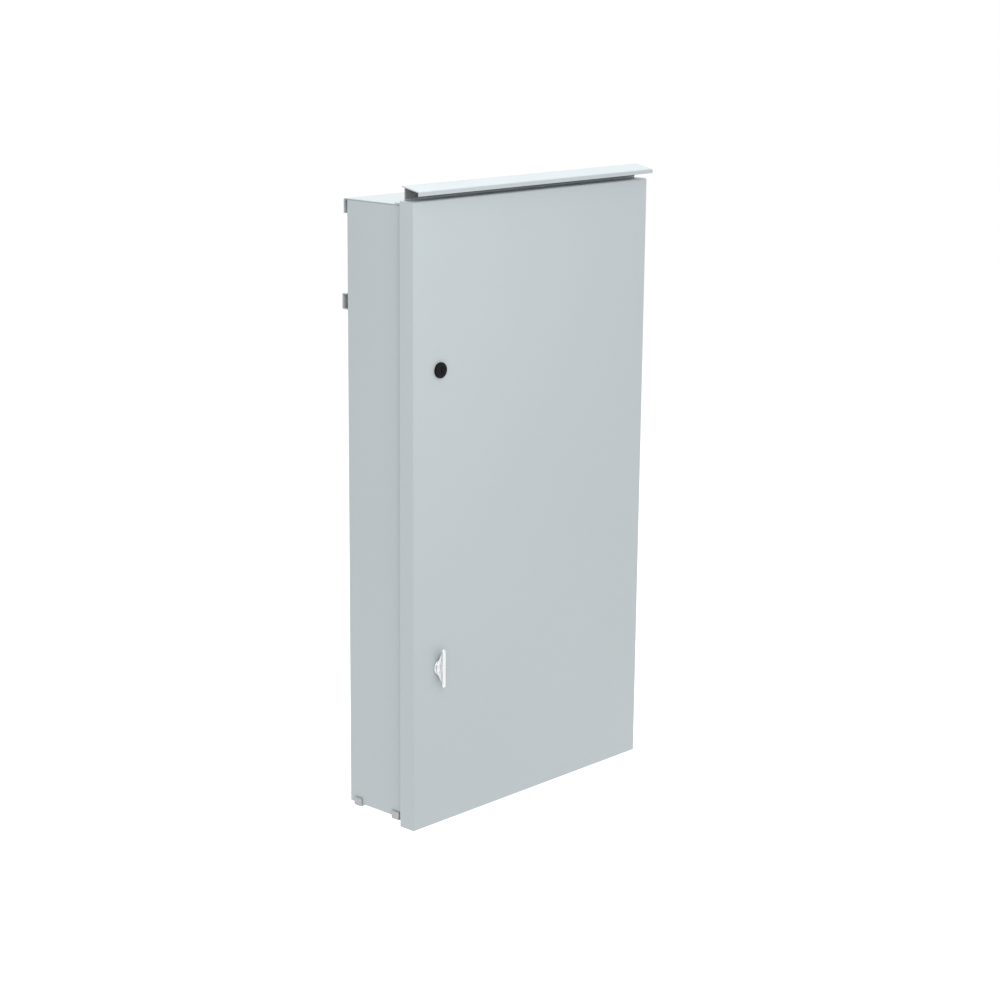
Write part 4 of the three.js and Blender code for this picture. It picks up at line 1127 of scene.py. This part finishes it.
def build_keys():
    """Function keys with a dished top and a softly rounded edge."""
    half_x, half_z, corner = 22, 11, 2.5
    rear = Span("control_cover").y0 + 1.8
    for node in KEYS:
        key = Span(node)
        bm = bmesh.new()
        rings = []
        for y, gx, gz in ((rear + 1.5, 2.5, 2.5), (rear, 2.5, 2.5), (rear, 0, 0), (key.y0 + 0.9, 0, 0),
                          (key.y0 + 0.25, -0.35, -0.35), (key.y0, -1.1, -1.1), (key.y0 + 0.35, -3.0, -3.0),
                          (key.y0 + 0.55, -6.0, -5.5)):
            w, h = half_x + gx, half_z + gz
            loop = rounded_rect(key.x - w, key.x + w, key.z - h, key.z + h, max(1.2, corner + gx * 0.3), 5)
            rings.append(outlined(bm, loop, "Y", y))
        bridge(bm, rings, capped=True)
        rod(bm, key.x, key.z, 3, rear + 1, key.y1, 20)
        publish(f"{node}_cap", bm, KEY_RED if node == "button_drill" else KEY_GREY, node, rim=0)


# Batteries

def build_batteries():
    for node in ("battery_left", "battery_right"):
        cell = Span(node)
        lid = cell.z1 - 8
        seam = lid - 22
        bm = bmesh.new()
        pad(bm, *cell.plan(1.5), 4, cell.z0, seam + 0.5, axis="Z")
        publish(f"{node}_jar", bm, BATTERY_GREY, node, rim=0.8, segments=3)
        bm = bmesh.new()
        pad(bm, *cell.plan(), 4, seam, lid - 1.2, axis="Z")
        pad(bm, *cell.plan(3), 3, lid - 1.25, lid, axis="Z")
        for i in range(6):
            x = cell.x + (i - 2.5) * 24
            pad(bm, x - 9, x + 9, cell.y - 2, cell.y + 10, 2, lid - 0.1, lid + 1.0, 4, "Z")
        publish(f"{node}_lid", bm, BATTERY_GREY, rim=0.6, segments=3)
        bm = bmesh.new()
        for i in range(3):
            z = seam - 14 - i * 5
            pad(bm, cell.x0 + 8, cell.x1 - 8, z - 1, z + 1, 0.9, cell.y0 + 0.9, cell.y0 + 1.7, 3)
        publish(f"{node}_ribs", bm, BATTERY_GREY, rim=0.2)
        y = cell.y1 - 18
        for pole, x, material in (("plus", cell.x0 + 16, RED), ("minus", cell.x1 - 16, BLACK)):
            bm = bmesh.new()
            pad(bm, x - 7.5, x + 7.5, y - 6, y + 6, 2, lid - 0.2, lid + 1.6, axis="Z")
            publish(f"{node}_{pole}_base", bm, material, rim=0.4)
            bm = bmesh.new()
            pad(bm, x - 3.2, x + 3.2, lid + 1.0, cell.z1, 1.2, y - 0.5, y + 0.4, 4)
            tab = carved(bm, hole_tool([(x, lid + 5)], 0.9, y - 1, y + 1, 16))
            publish(f"{node}_{pole}_tab", tab, TINNED, rim=0.1)
    softened("battery_tray", ZINC, 0.4, 3)
    softened("battery_strap", ZINC, 0.4, 3)
    strap = Span("battery_strap")
    screw_heads("strap_screws", strap.y1 - 1.6, [(x, strap.z) for x in (strap.x0 + 7, strap.x1 - 7)])


def build_tamper():
    softened("tamper_switch", BLACK, 0.4, 3)
    pin = Span("tamper_plunger")
    r = 2.4
    turned("tamper_pin_tip", [
        (0, pin.y0), (r * 0.5, pin.y0 + 0.15), (r * 0.87, pin.y0 + 0.9), (r, pin.y0 + 2.2), (r, pin.y1),
        (0, pin.y1),
    ], pin, RED, "tamper_plunger", sides=24)


def add_floor():
    floor_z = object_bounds()[0][2] - 0.62
    half = 220.0
    mesh = bpy.data.meshes.new("floor")
    corners = ((-half, -half), (half, -half), (half, half), (-half, half))
    mesh.from_pydata([(x, y, floor_z) for x, y in corners], [], [range(4)])
    pale = Finish("pale_floor", (0.985, 0.985, 0.985), 0.9)
    pale.mottle(2.0, 0.003)
    mesh.materials.append(pale.material)
    linked("floor", mesh)


add_camera()
add_studio()
add_floor()
build_body()
build_roof()
build_rails()
build_feet()
build_conduit_plugs()
build_hinge()
build_door_pan()
build_gasket()
build_stiffener()
build_pocket()
build_lock()
build_latch()
build_cam("lock_cam")
build_cam("latch_cam")
build_mounting_plate()
softened("main_board", BOARD, 0.2)
build_loop_card()
build_power_supply()
build_transformer()
build_mains()
softened("wire_duct", GREY, 0.4)
build_control_cover()
build_display()
build_keys()
build_batteries()
build_tamper()
